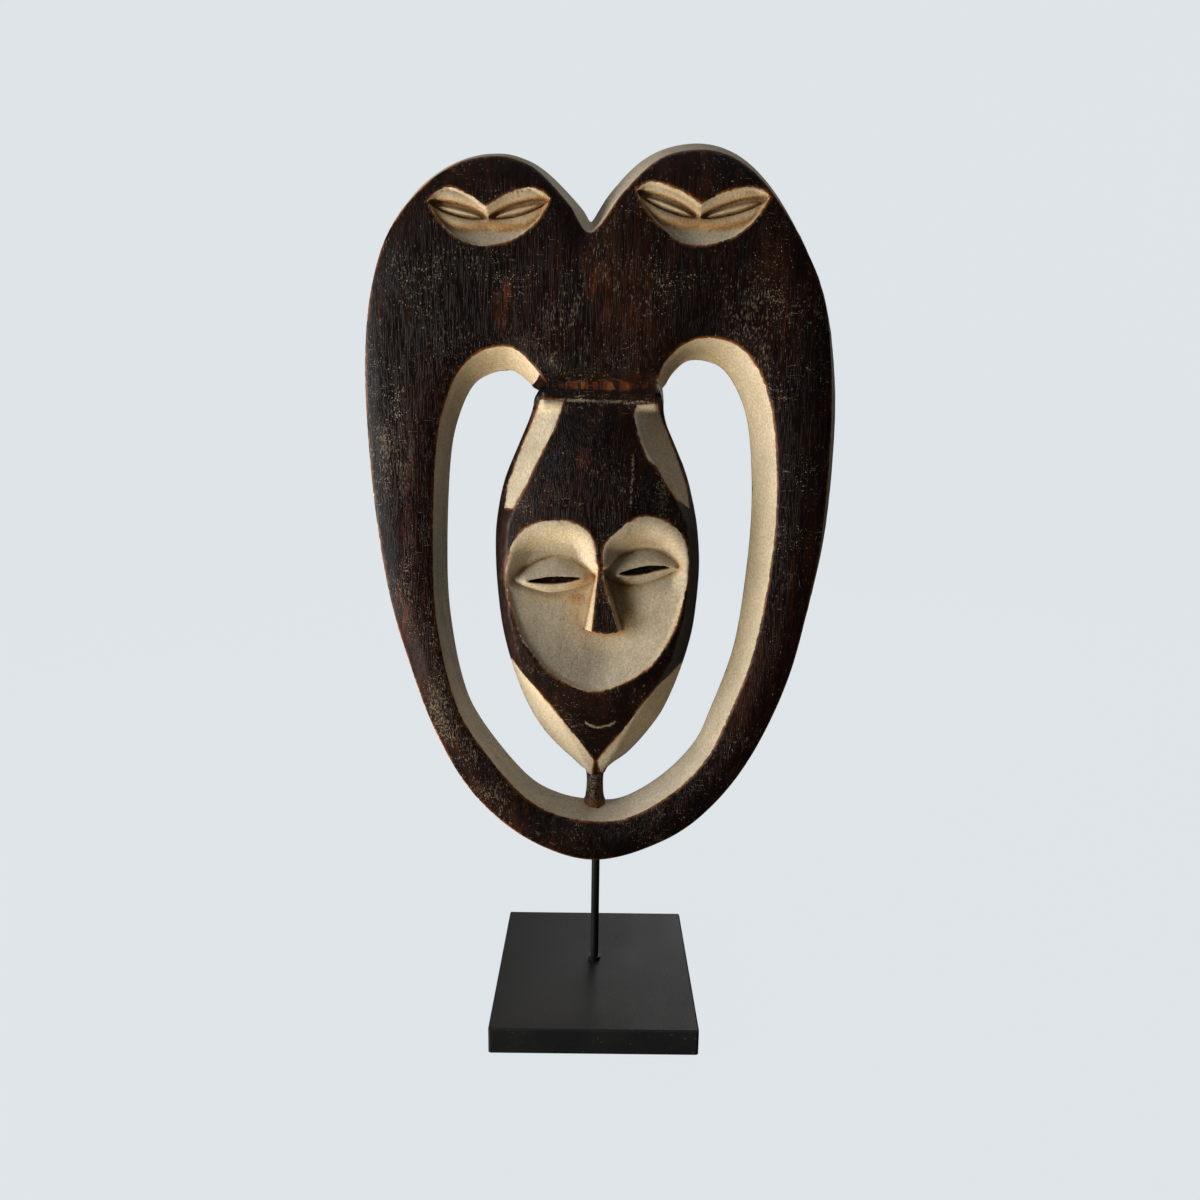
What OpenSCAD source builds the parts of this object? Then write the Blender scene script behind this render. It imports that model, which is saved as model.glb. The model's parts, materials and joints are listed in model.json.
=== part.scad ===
// A carved wooden mask on a display stand.
// One board carries two horns that meet under a long hanging head; the board stands on a steel rod
// that is held in a square block. Z is up and the mask looks along -Y. The origin is the middle of the
// block's footprint, on the surface that the stand rests on.

/* [Mask board] */
// Width of the mask over its back edges
mask_w = 326; // [280:1:400]
// Height of the mask over its back edges
mask_h = 497; // [410:1:600]
// Thickness of the board that the mask is carved from
board_t = 34; // [26:1:42]
// How far the outer wall spreads from the front edge to the back edge
outer_bevel = 12; // [2:0.5:16]
// How far the walls of the openings close in from the front edge to the back edge
inner_bevel = 11; // [2:0.5:14]

/* [Head] */
// Width of the hanging head over its back edges
head_w = 144; // [115:1:172]
// How far the brow stands in front of the board
brow_rise = 9; // [4:0.5:14]
// Height of the straight edge round the head's back
head_edge_t = 7; // [3:0.5:12]
// Depth of the hollow face below its rim
face_depth = 8; // [4:0.5:12]
// How far the nose stands out of the face
nose_rise = 10; // [5:0.5:14]
// How far the eyelids stand out of the face
lid_rise = 5; // [2:0.5:8]
// Depth of the slit between the eyelids
slit_depth = 5; // [2:0.5:8]
// Height of the slit between the eyelids
slit_h = 2.4; // [1:0.2:4]

/* [Neck and chin] */
// Thickness of the bead across the front of the neck
bead_d = 5; // [3:0.5:8]
// How far the bead stands out beside the neck
bead_overhang = 0.5; // [0:0.25:2]
// Width of the post under the chin
post_w = 15; // [10:0.5:20]
// Thickness of the post under the chin
post_t = 12; // [8:0.5:16]

/* [Horn faces] */
// Width of each carved pair of closed eyes on the horns
motif_w = 78; // [60:1:92]
// Depth of the carving on the horns
motif_depth = 5; // [2:0.5:8]

/* [Rod] */
// Diameter of the steel rod
rod_d = 6; // [5:0.5:8]
// Length of rod that shows between the block and the mask
rod_exposed = 86; // [60:1:140]
// Depth of the socket in the foot of the mask
socket_depth = 24; // [14:1:28]
// Gap all round between the rod and the mask's socket
socket_clearance = 0.08; // [0.05:0.01:0.1]
// Gap all round between the rod and the block's bore
bore_clearance = 0.08; // [0.05:0.01:0.1]
// Distance of the rod behind the middle of the block
rod_setback = 8; // [0:1:16]
// Diameter of the collar at the foot of the rod
collar_d = 9; // [8.5:0.5:14]
// Height of the collar at the foot of the rod
collar_h = 3; // [2:0.5:8]

/* [Block] */
// Width of the block
base_w = 142; // [110:1:180]
// Depth of the block from front to back
base_d = 142; // [110:1:180]
// Thickness of the block
base_t = 18; // [14:1:25]
// Radius of the block's upright corners
base_corner_r = 2; // [1:0.5:5]
// Width of the bevel round the block's top
base_bevel = 1; // [0.5:0.25:2.5]

/* [Fasteners under the block] */
// Diameter of the counterbore that hides the nut
counterbore_d = 22; // [20:1:30]
// Depth of the counterbore
counterbore_depth = 9; // [8:0.5:11]
// Diameter of the washer
washer_d = 18; // [14:1:19]
// Thickness of the washer
washer_t = 1.6; // [1:0.1:2]
// Width of the nut across its flats
nut_af = 10; // [9:0.5:13]
// Thickness of the nut
nut_t = 5; // [4:0.5:6]
// How far the rod's thread reaches past the nut
thread_past_nut = 1; // [0:0.25:1.5]

/* [Foot pads] */
// Diameter of each felt pad
pad_d = 18; // [12:1:24]
// Thickness of each felt pad
pad_t = 1.5; // [1:0.25:4]
// Distance of each pad's rim from the block's sides
pad_inset = 6; // [3:1:14]

/* [Hidden] */
PAD_NODES = ["foot_pad_front_left", "foot_pad_front_right", "foot_pad_back_left", "foot_pad_back_right"];

$fn = 64;
// Overlap of cutting tools past the faces that they cut
cut = 1;
// Steps between neighbouring points of a drawn curve
curve_steps = 4;
// The overall sizes at which the outlines below are drawn
drawn_w = 326;
drawn_h = 497;
drawn_head_w = 144;
sx = mask_w / drawn_w;
sz = mask_h / drawn_h;
head_sx = head_w / drawn_head_w;

// Heights of the stand, from the surface that it rests on
block_top = pad_t + base_t;
seat_z = pad_t + counterbore_depth;
mask_foot = block_top + rod_exposed;

// Depths of the mask, front to back
board_front = rod_setback - board_t / 2;
board_back = rod_setback + board_t / 2;

// The foot of the front outline stands this far above the foot of the back outline
foot_rise = 2.5;

// Front edge of the board, from the notch round by the left horn: x, height, share of the bevel
outer_edge = [
    [-8.5, 430, 0.85], [-22.5, 446.5, 0.85], [-40.5, 464.5, 0.8], [-55, 472, 0.9], [-71, 474, 1.0],
    [-92, 469.5, 1.0], [-115, 455, 1.0], [-137, 428.5, 0.85], [-149, 395, 0.6], [-154.5, 355, 0.55],
    [-155, 310, 0.55], [-152, 257, 0.55], [-145, 198.5, 0.5], [-135, 154, 0.45], [-115, 96, 0.35],
    [-87, 47.5, 0.3], [-45, 13, 0.25], [0.5, 0, 0.25], [48, 15, 0.25], [81.5, 41, 0.35],
    [109.5, 81, 0.5], [133, 138.5, 0.65], [146, 203, 0.8], [151, 249, 0.9], [152, 305, 0.95],
    [149.5, 351, 0.9], [142, 393, 0.8], [126, 426.5, 0.85], [103.5, 457.5, 1.0], [82, 474.5, 1.15],
    [59.5, 479.5, 1.2], [34.5, 474, 1.1], [12.5, 455, 1.0], [-8.5, 430, 0.85]
];

// Front edge of the space inside the horns, from the neck round by the left arch
inner_edge = [
    [-38, 339, 0.7], [-45, 347.5, 0.9], [-55.5, 357, 1.1], [-66, 359.5, 1.2], [-80.5, 355.5, 1.1],
    [-95, 342, 0.8], [-105, 317.5, 0.5], [-110.5, 287, 0.4], [-113.5, 230, 0.36], [-112.5, 180, 0.34],
    [-103, 127.5, 0.25], [-88.5, 94, 0.25], [-56, 52, 0.35], [-29.5, 35, 0.4], [0, 30, 0.4],
    [24, 33.5, 0.4], [54, 52, 0.5], [77, 77.5, 0.55], [89.5, 104, 0.65], [106.5, 152, 0.8],
    [115.5, 207, 1.0], [118.5, 260, 1.1], [114, 311, 1.1], [105, 341, 1.2], [90.5, 360, 1.2],
    [72, 366.5, 1.1], [54, 363, 0.9], [41, 351, 0.7], [36, 339, 0.6]
];

// Head, from chin to neck: height, left and right back edge, left and right front edge, share of the
// brow's rise (below zero behind the board's front)
head_rows = [
    [54, -8, 6, -3, 3, -2.6], [65, -19, 19, -6, 7, -2.0], [77, -30, 30, -12, 12, -1.3],
    [102, -47, 45, -24, 22, -0.2], [129, -60, 56.5, -42, 38, 0.45], [151, -68, 63.5, -55, 50, 0.7],
    [181, -73, 69, -63, 59, 0.85], [215, -74, 71, -66, 62, 0.95], [246, -72.5, 68.5, -63, 59, 1.0],
    [260, -70.5, 65, -58, 54, 0.95], [274, -67, 60.5, -49, 47, 0.85], [302, -57, 49.5, -36, 30, 0.45],
    [320, -49.5, 42.5, -31, 23, 0.05], [332, -45.5, 39, -30, 22, -0.35], [345, -44, 38, -34, 30, -0.4]
];

// Rim of the hollow face, from the nose bridge round by the left brow
face_edge = [
    [-2, 212], [-4, 224], [-9, 235], [-18, 244], [-31, 248], [-45, 245], [-56, 236], [-62, 224],
    [-64, 210], [-61, 190], [-52, 167], [-36, 144], [-20, 133.5], [-2, 130], [18, 134.5], [36, 146],
    [50, 166], [57, 187], [59, 208], [57, 228], [50, 241], [38, 249], [27, 251], [14, 246], [6, 236],
    [3, 224], [2, 212]
];

// Closed eyes of the head: middle x and height, width, height, tilt
face_eyes = [[-31, 208, 52, 24, 2], [29.5, 214.5, 48, 25, 5]];
// Nose: x and height of the bridge, then of the left and right wing, then half the ridge's width at its tip
nose_bridge = [-0.5, 211];
nose_left = [-11, 170];
nose_right = [17, 171];
nose_ridge_half = 9;

// Carved faces on the horns: middle x and height, tilt
motifs = [[-73, 442, 1], [62, 446, 0]];

function at(p, wide = sx) = [p.x * wide, p.y * sz];
function wrapped(list, i) = list[(i + len(list)) % len(list)];
function clamped(list, i) = list[min(max(i, 0), len(list) - 1)];

// A point of the smooth curve through b and c, between its neighbours a and d
function between(a, b, c, d, t) =
    0.5 * (2 * b + (c - a) * t + (2 * a - 5 * b + 4 * c - d) * t * t + (3 * b - a - 3 * c + d) * t * t * t);
function curve_through(rows) = [
    for (i = [0:len(rows) - 2]) for (s = [0:curve_steps - 1])
        between(clamped(rows, i - 1), rows[i], rows[i + 1], clamped(rows, i + 2), s / curve_steps)
];

// Unit vector that points out of a closed counterclockwise outline near its point i
function outward(outline, i) =
    let (along = wrapped(outline, i + curve_steps) - wrapped(outline, i - curve_steps))
    [along.y, -along.x] / norm([along.x, along.y]);
// The outline moved outwards by width times the share in each row
function spread(rows, width) =
    let (flat = [for (row = rows) at(row)])
    [for (i = [0:len(rows) - 1]) flat[i] + outward(flat, i) * width * rows[i].z];
function raise(outline, y) = [for (p = outline) [p.x, y, p.y + mask_foot + foot_rise]];

// Closed solid through rings of points; from the first ring, looking towards the last, each runs counterclockwise
module skin(rings) {
    n = len(rings[0]);
    last = len(rings) - 1;
    sides = [
        for (r = [0:last - 1]) for (i = [0:n - 1])
            let (a = r * n + i, b = r * n + (i + 1) % n) each [[a, b, b + n], [a, b + n, a + n]]
    ];
    first_cap = [for (i = [n - 1:-1:0]) i];
    last_cap = [for (i = [0:n - 1]) last * n + i];
    polyhedron([for (ring = rings) each ring], concat([first_cap], sides, [last_cap]));
}

// Moves a flat drawing of the front view to depth y and gives it a thickness towards the back
module facing(y, thickness) {
    translate([0, y, mask_foot + foot_rise]) rotate([90, 0, 0]) mirror([0, 0, 1]) linear_extrude(thickness)
        children();
}

// Almond that lies along x, as two equal arcs
module almond(width, height) {
    radius = (width * width / 4 + height * height / 4) / height;
    intersection() {
        translate([0, radius - height / 2]) circle(radius);
        translate([0, height / 2 - radius]) circle(radius);
    }
}

module board() {
    rows = curve_through(outer_edge);
    skin([
        raise([for (row = rows) at(row)], board_front),
        raise(spread(rows, outer_bevel), board_back)
    ]);
}

module space_inside_horns() {
    rows = curve_through(concat(inner_edge, [inner_edge[0]]));
    front = [for (row = rows) at(row)];
    back = spread(rows, -inner_bevel);
    skin([
        raise(front, board_front - cut), raise(front, board_front),
        raise(back, board_back), raise(back, board_back + cut)
    ]);
}

// One level cross-section of the head
function head_ring(row) =
    let (
        front = board_front - brow_rise * row[5],
        edge = board_back - head_edge_t,
        left = row[1] * head_sx,
        right = row[2] * head_sx,
        front_left = row[3] * head_sx,
        front_right = row[4] * head_sx,
        corner = min(front + (front_right - front_left) * 0.06, edge - 1),
        z = row[0] * sz + mask_foot + foot_rise
    ) [
        [left, board_back, z], [right, board_back, z], [right, edge, z],
        for (u = [1:-0.25:-1])
            [
                (front_left + front_right) / 2 + u * (front_right - front_left) / 2,
                front + (corner - front) * u * u,
                z
            ],
        [left, edge, z]
    ];

module head() {
    skin([for (row = curve_through(head_rows)) head_ring(row)]);
}

// Bead that closes the groove under the board's lower edge
module neck_bead() {
    row = clamped(head_rows, len(head_rows) - 2);
    left = row[1] * head_sx - bead_overhang + bead_d / 2;
    right = row[2] * head_sx + bead_overhang - bead_d / 2;
    translate([0, board_front - brow_rise * row[5] + bead_d * 0.35, mask_foot + foot_rise + (row[0] - 3) * sz]) {
        translate([left, 0, 0]) rotate([0, 90, 0]) cylinder(h = right - left, d = bead_d);
        for (x = [left, right]) translate([x, 0, 0]) {
            sphere(d = bead_d);
            rotate([-90, 0, 0]) cylinder(h = board_t / 2, d = bead_d);
        }
    }
}

module chin_post() {
    bottom = inner_edge[14].y * sz - cut;
    top = head_rows[1][0] * sz;
    translate([-1, board_back - 1 - post_t / 2, mask_foot + foot_rise + bottom])
        linear_extrude(top - bottom) polygon([
            [-post_w / 2, -post_t / 6], [-post_w / 5, -post_t / 2], [post_w / 5, -post_t / 2],
            [post_w / 2, -post_t / 6], [post_w / 2, post_t / 2], [-post_w / 2, post_t / 2]
        ]);
}

module hollow_face() {
    rim = [for (p = curve_through(concat(face_edge, [face_edge[0]]))) at(p, head_sx)];
    floor_y = board_front - brow_rise + face_depth;
    facing(floor_y - board_t, board_t) polygon(rim);
}

module eyelids() {
    floor_y = board_front - brow_rise + face_depth;
    for (eye = face_eyes) {
        facing(floor_y - lid_rise, lid_rise + cut) difference() {
            translate(at(eye, head_sx)) rotate(eye[4]) almond(eye[2] * head_sx, eye[3] * sz);
            translate(at(eye, head_sx) + [0, -eye[3] * sz / 6]) rotate(eye[4]) almond(eye[2] * head_sx * 0.72, slit_h);
        }
    }
}

module eye_slits() {
    floor_y = board_front - brow_rise + face_depth;
    for (eye = face_eyes) {
        facing(floor_y - cut, slit_depth - lid_rise + 2 * cut)
            translate(at(eye, head_sx) + [0, -eye[3] * sz / 6]) rotate(eye[4]) almond(eye[2] * head_sx * 0.72, slit_h);
    }
}

module nose() {
    floor_y = board_front - brow_rise + face_depth;
    ridge_y = floor_y - nose_rise;
    z0 = mask_foot + foot_rise;
    bridge = at(nose_bridge, head_sx);
    left = at(nose_left, head_sx);
    right = at(nose_right, head_sx);
    middle = (left + right) / 2;
    tip_left = [middle.x - nose_ridge_half, middle.y + 2];
    tip_right = [middle.x + nose_ridge_half, middle.y + 2];
    top = [bridge.x, bridge.y + 14];
    polyhedron(
        [
            [bridge.x - 1.5, floor_y + cut, top.y + z0], [bridge.x + 1.5, floor_y + cut, top.y + z0],
            [right.x, floor_y + cut, right.y + z0], [left.x, floor_y + cut, left.y + z0],
            [bridge.x - 1, ridge_y + nose_rise * 0.2, top.y + z0], [bridge.x + 1, ridge_y + nose_rise * 0.2, top.y + z0],
            [tip_right.x, ridge_y, tip_right.y + z0], [tip_left.x, ridge_y, tip_left.y + z0]
        ],
        [
            [3, 2, 1], [3, 1, 0], [4, 5, 6], [4, 6, 7], [0, 1, 5], [0, 5, 4],
            [1, 2, 6], [1, 6, 5], [2, 3, 7], [2, 7, 6], [3, 0, 4], [3, 4, 7]
        ]
    );
}

// One pair of closed eyes over a crescent cheek, drawn flat
module motif_outline() {
    for (side = [-1, 1])
        translate([side * motif_w * 0.235, motif_w * 0.06]) rotate(side * 14) almond(motif_w * 0.54, motif_w * 0.16);
    difference() {
        translate([0, motif_w * 0.02]) almond(motif_w, motif_w * 0.58);
        translate([0, motif_w * 0.52]) circle(motif_w * 0.5);
    }
}

module motif_lids() {
    for (side = [-1, 1])
        translate([side * motif_w * 0.235, motif_w * 0.055]) rotate(side * 14) almond(motif_w * 0.44, motif_w * 0.08);
}

module on_each_horn() {
    for (m = motifs) translate(at(m)) rotate(m.z) children();
}

module mask_board() color([0.10, 0.07, 0.055]) difference() {
    union() {
        difference() {
            board();
            space_inside_horns();
            facing(board_front - cut, motif_depth + cut) on_each_horn() motif_outline();
        }
        facing(board_front + motif_depth * 0.4, motif_depth) on_each_horn() motif_lids();
        neck_bead();
        chin_post();
        difference() {
            head();
            hollow_face();
        }
        eyelids();
        nose();
    }
    eye_slits();
    translate([0, rod_setback, mask_foot - board_t]) cylinder(h = board_t + socket_depth, d = rod_d + 2 * socket_clearance);
}

module stand_rod() color([0.04, 0.04, 0.045]) {
    bottom = seat_z - washer_t - nut_t - thread_past_nut;
    top = mask_foot + socket_depth;
    translate([0, rod_setback, bottom]) cylinder(h = top - bottom, d = rod_d);
}

module ring(outer_d, inner_d, thickness) {
    difference() {
        cylinder(h = thickness, d = outer_d);
        translate([0, 0, -cut]) cylinder(h = thickness + 2 * cut, d = inner_d);
    }
}

module foot_collar() color([0.04, 0.04, 0.045])
    translate([0, rod_setback, block_top]) ring(collar_d, rod_d, collar_h);

module foot_washer() color([0.62, 0.63, 0.65])
    translate([0, rod_setback, seat_z - washer_t]) ring(washer_d, rod_d + 2 * bore_clearance, washer_t);

module foot_nut() color([0.62, 0.63, 0.65])
    translate([0, rod_setback, seat_z - washer_t - nut_t]) difference() {
        cylinder(h = nut_t, d = nut_af / cos(30), $fn = 6);
        translate([0, 0, -cut]) cylinder(h = nut_t + 2 * cut, d = rod_d);
    }

module rounded_block(width, depth, height, radius) {
    linear_extrude(height) {
        square([width - 2 * radius, depth], center = true);
        square([width, depth - 2 * radius], center = true);
        for (x = [-1, 1], y = [-1, 1])
            translate([x * (width / 2 - radius), y * (depth / 2 - radius)]) circle(radius);
    }
}

// Wedges that take the bevel off the four top edges
module top_bevels() {
    for (turn = [0:90:270]) {
        reach = turn % 180 == 0 ? base_w / 2 : base_d / 2;
        length = turn % 180 == 0 ? base_d : base_w;
        rotate(turn) translate([reach, 0, base_t]) rotate([0, 45, 0])
            cube([base_bevel * sqrt(2), length + 2 * cut, base_bevel * sqrt(2)], center = true);
    }
}

module base_block() color([0.045, 0.045, 0.045]) translate([0, 0, pad_t]) difference() {
    rounded_block(base_w, base_d, base_t, base_corner_r);
    top_bevels();
    translate([0, rod_setback, -cut]) cylinder(h = base_t + 2 * cut, d = rod_d + 2 * bore_clearance);
    translate([0, rod_setback, -cut]) cylinder(h = counterbore_depth + cut, d = counterbore_d);
}

// Pads run front left, front right, back left, back right
module foot_pad(i) color([0.12, 0.12, 0.12]) {
    x = (i % 2 == 0 ? -1 : 1) * (base_w / 2 - pad_inset - pad_d / 2);
    y = (i < 2 ? -1 : 1) * (base_d / 2 - pad_inset - pad_d / 2);
    translate([x, y, 0]) cylinder(h = pad_t, d = pad_d);
}

mask_board();
stand_rod();
foot_collar();
base_block();
foot_washer();
foot_nut();
for (i = [0:3]) foot_pad(i);
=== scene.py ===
"""A carved wooden mask on its display stand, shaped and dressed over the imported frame.

Lengths inside the carving are in millimetres: x across, h up from the foot of the front outline, and
depth towards the viewer from the board's front. The finished meshes are in metres, in the frame's axes.
"""

import json
import logging
import math
from dataclasses import dataclass, field
from enum import Enum

import bmesh
import bpy
import numpy as np
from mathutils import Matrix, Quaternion, Vector, geometry, noise

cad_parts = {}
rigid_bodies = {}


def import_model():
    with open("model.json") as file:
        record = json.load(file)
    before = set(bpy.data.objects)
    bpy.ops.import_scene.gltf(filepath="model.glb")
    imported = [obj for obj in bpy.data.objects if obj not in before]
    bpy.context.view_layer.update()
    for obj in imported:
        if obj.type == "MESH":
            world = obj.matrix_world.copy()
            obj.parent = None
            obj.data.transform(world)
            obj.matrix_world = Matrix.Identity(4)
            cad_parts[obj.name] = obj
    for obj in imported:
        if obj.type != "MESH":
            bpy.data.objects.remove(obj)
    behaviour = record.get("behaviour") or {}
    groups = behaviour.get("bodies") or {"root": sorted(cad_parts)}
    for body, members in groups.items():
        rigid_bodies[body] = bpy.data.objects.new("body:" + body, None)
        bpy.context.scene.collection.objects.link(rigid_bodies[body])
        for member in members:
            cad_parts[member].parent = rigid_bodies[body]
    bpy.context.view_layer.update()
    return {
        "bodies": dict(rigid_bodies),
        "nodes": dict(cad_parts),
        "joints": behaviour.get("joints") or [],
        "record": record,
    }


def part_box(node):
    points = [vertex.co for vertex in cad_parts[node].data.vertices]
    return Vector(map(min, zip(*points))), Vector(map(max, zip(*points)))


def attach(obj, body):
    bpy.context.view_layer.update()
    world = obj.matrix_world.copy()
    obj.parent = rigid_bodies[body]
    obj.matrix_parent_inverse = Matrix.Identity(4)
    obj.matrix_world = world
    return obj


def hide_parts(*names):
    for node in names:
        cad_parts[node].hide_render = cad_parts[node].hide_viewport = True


LOG = logging.getLogger("mask")
MM = 0.001
FOOT_RISE = 3.0
BOARD_T = 34.0
SOCKET_D = 6.16
SOCKET_DEPTH = 24.0
ROD_Y = 8.0
FAR_OUT = -99.0
BARE = -30.0
HEAD_TOP = 331.0
NECK_LOW, NECK_HIGH = 318, 346
WELD_GAP = 2e-6
SHARP_ANGLE = 58

# Drawn lines of the carving. Each row is x and h; outlines with a bevel add its share of the full width.
OUTER_EDGE = [
    (-8.5, 430, 0.85), (-22.5, 446.5, 0.85), (-40.5, 464.5, 0.8), (-55, 472, 0.9), (-71, 474, 1),
    (-92, 469.5, 1), (-115, 455, 1), (-137, 428.5, 0.85), (-149, 395, 0.6), (-154.5, 355, 0.55),
    (-155, 310, 0.55), (-152, 257, 0.55), (-145, 198.5, 0.5), (-135.5, 154, 0.45), (-116.5, 96, 0.35),
    (-88.5, 47, 0.3), (-45, 13, 0.25), (0.5, 0, 0.25), (48, 15, 0.25), (81.5, 41, 0.35), (109.5, 81, 0.5),
    (133, 138.5, 0.65), (146, 203, 0.8), (151, 249, 0.9), (152, 305, 0.95), (149.5, 351, 0.9),
    (142, 393, 0.8), (126, 426.5, 0.85), (103.5, 457.5, 1), (82, 474.5, 1.15), (59.5, 479.5, 1.2),
    (34.5, 474, 1.1), (12.5, 455, 1),
]
OUTER_BEVEL = 11.9
INNER_EDGE = [
    (-38, 338, 0.85), (-45, 347.5, 0.95), (-55.5, 357, 1.1), (-66, 359.5, 1.2), (-80.5, 355.5, 1.1),
    (-95, 342, 0.8), (-105, 317.5, 0.62), (-110.5, 287, 0.53), (-113.5, 230, 0.49), (-112.5, 180, 0.47),
    (-103, 127.5, 0.37), (-88.5, 94, 0.34), (-56, 52, 0.35), (-29.5, 35, 0.4), (0, 30, 0.4),
    (24, 33.5, 0.4), (54, 52, 0.5), (77, 77.5, 0.55), (89.5, 104, 0.65), (106.5, 152, 0.8),
    (115.5, 207, 1.0), (118.5, 260, 1.1), (114, 311, 1.1), (105, 341, 1.2), (90.5, 360, 1.2),
    (72, 366.5, 1.1), (54, 363, 0.9), (41, 351, 0.85), (36, 339.5, 0.75),
]
INNER_BEVEL = 11.0
HEAD_EDGE = [
    (37.2, 335.2), (38.6, 331.2), (40.2, 326.5), (44, 312), (50.5, 298), (59, 278), (64.5, 258),
    (68, 240), (70, 216), (69, 190), (66, 165), (58.5, 137), (48, 110), (36, 91), (22.5, 75), (11, 66),
    (6, 61.5), (-1, 59), (-9, 61.5), (-18.5, 70), (-34.5, 86), (-48, 106), (-59.5, 134), (-68, 166),
    (-72, 199), (-73, 230), (-71, 252), (-66, 274), (-57, 296), (-49, 314), (-44.3, 326.5),
    (-41.8, 331.2), (-39.6, 335.0),
]
FACE_EDGE = [
    (-1.5, 219), (-3.2, 230.5), (-7, 239), (-12, 243.5), (-20, 247), (-30.6, 248), (-42, 245.8),
    (-52, 240.5), (-59.4, 230.5), (-63, 217), (-64, 208), (-62, 195), (-58, 181.5), (-53, 166.5),
    (-45, 154.5), (-36, 144.5), (-27, 138), (-16, 132.5), (-5, 129.5), (5, 130.8), (16, 135), (27, 141),
    (36, 148), (44.5, 159.5), (52, 174.5), (57, 192.5), (60, 210.5), (60, 223.5), (57, 234.5),
    (50.6, 243.5), (40, 249.5), (29.4, 251.3), (19, 247.5), (12.8, 242.5), (6, 236), (2.4, 229),
    (1.7, 219),
]
NOSE_RIDGE = [
    (-1.6, 222), (-1.2, 212), (-2.4, 200), (-4.9, 172.8), (4, 171.2), (13.2, 172.6), (5.6, 198),
    (2.4, 212), (2, 222),
]
NOSE_FOOT = [
    (-2.6, 226), (-2.4, 210), (-4.4, 200), (-9.8, 171), (3, 168.4), (16.6, 171.5), (8.4, 198), (3.8, 210),
    (3.4, 226),
]
LEFT_LID = [
    (-58.5, 206), (-45, 216.5), (-29.4, 221.5), (-14, 217), (-3.0, 207.8), (-14, 201), (-31.7, 197.2),
    (-46, 199.8),
]
LEFT_SLIT = [(-50, 205.3), (-40, 208), (-30, 209.2), (-11.7, 208.4), (-20, 205.2), (-33, 203.6)]
RIGHT_LID = [
    (3.5, 210.2), (15, 222.5), (30.6, 227.6), (44, 224.5), (54.3, 215.5), (40, 207.2), (24, 203),
    (11, 205),
]
RIGHT_SLIT = [(12.8, 211.2), (24, 215.5), (36, 217.6), (49.4, 216.3), (38, 213), (24, 210)]
LEFT_TEMPLE = [
    (-40.5, 326.5), (-25, 325.5), (-31.7, 306.5), (-40.6, 289), (-49.4, 271.5), (-58.5, 255),
    (-65.5, 254.5), (-63.5, 270), (-55, 293), (-46.8, 312),
]
RIGHT_TEMPLE = [
    (36.8, 324.5), (22.8, 323.8), (21.2, 318), (24, 304.5), (30.6, 289), (37, 283.5), (44, 271.5),
    (50.6, 262.5), (60.5, 256), (59, 270), (50.2, 293), (42, 312),
]
LEFT_JAW = [
    (-69, 151), (-60.4, 145.5), (-41.6, 127.5), (-32.7, 116.5), (-21.6, 101.5), (-10.4, 85.5), (-2.4, 72),
    (-4, 58), (-13, 63), (-37, 83.5), (-51, 104), (-62.5, 131),
]
RIGHT_JAW = [
    (63, 147), (54, 141.5), (41.7, 132.5), (28, 114.5), (17, 96.5), (6, 81.5), (0.6, 72), (2.4, 62),
    (9, 62), (23, 73), (38, 91), (50, 110), (61, 136),
]
SMILE = [(-9.4, 105.3), (-4, 102), (1, 101.2), (7, 102.4), (11.7, 105.3)]
# Each horn's eyes: left tip and top, cleft, right top and tip, the crescent, and where the leaves meet.
MOTIFS = [
    (
        (-111, 446.5), (-97, 454.4), (-74.3, 443), (-49, 455), (-34.3, 449),
        [
            (-108, 440), (-103, 433.5), (-96, 426.5), (-85, 421.5), (-75, 420.3), (-62.8, 422.5),
            (-51.7, 427.5), (-42, 436), (-37, 443),
        ],
        (-73.5, 437.8),
    ),
    (
        (20, 454.5), (32.5, 459.2), (60.6, 446.8), (89, 457.2), (104.3, 452.3),
        [
            (22, 448.5), (26.5, 442.5), (35, 433.5), (46, 425.6), (57, 422.4), (70.6, 424), (84, 429),
            (94.5, 438), (100.5, 446),
        ],
        (60.6, 439.8),
    ),
]
# The head's uncut front: h, depth of its crown, and x of the ends of its flat middle.
HEAD_ROWS = [
    (58, -20, -7, 5), (65, -17.5, -8, 7), (77, -12, -13, 12), (102, -2.5, -25, 23), (129, 4.5, -42, 38),
    (151, 6.8, -55, 50), (181, 8.0, -62, 58), (215, 8.6, -65, 61), (246, 8.8, -62, 58),
    (262, 8.2, -54, 50), (274, 7.2, -48, 43), (302, 3.0, -34, 26), (320, -1.2, -28, 22),
    (332, -3.2, -26, 22), (350, -3.4, -26, 22),
]
# Soft patches: x, h, reach across, reach upwards and strength.
# Tan patina in the face; the strong patch right of the nose at (17, 188) is also painted shadow of the nose.
FACE_STAINS_AND_SHADOW = [
    (-16, 186, 9, 20, 0.55), (17, 188, 9, 16, 0.75), (-10, 205, 8, 5, 0.6), (12, 204, 10, 6, 0.6),
    (-30, 194, 26, 4, 0.5), (30, 200, 22, 4, 0.4), (3, 164, 18, 5, 0.35), (-24, 226, 26, 4, 0.25),
    (28, 233, 24, 4, 0.45), (-52, 170, 12, 26, 0.16),
]
# Pale dust and scratches; the spots at (-112, 118) and (-78, 52) are a painted sheen on the lower left limb.
DUST_AND_SHEEN_SPOTS = [
    (-143, 300, 8, 20, 0.50), (-137, 318, 7, 12, 0.42), (41, 268, 8, 18, 0.48), (-34, 352, 7, 9, 0.45),
    (40, 352, 9, 6, 0.35), (-112, 118, 17, 52, 0.42), (-78, 52, 24, 17, 0.38), (-133, 215, 7, 26, 0.22),
    (46, 128, 7, 14, 0.32), (-30, 438, 26, 7, 0.20), (120, 385, 16, 26, 0.18), (-120, 395, 18, 30, 0.18),
]
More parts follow.
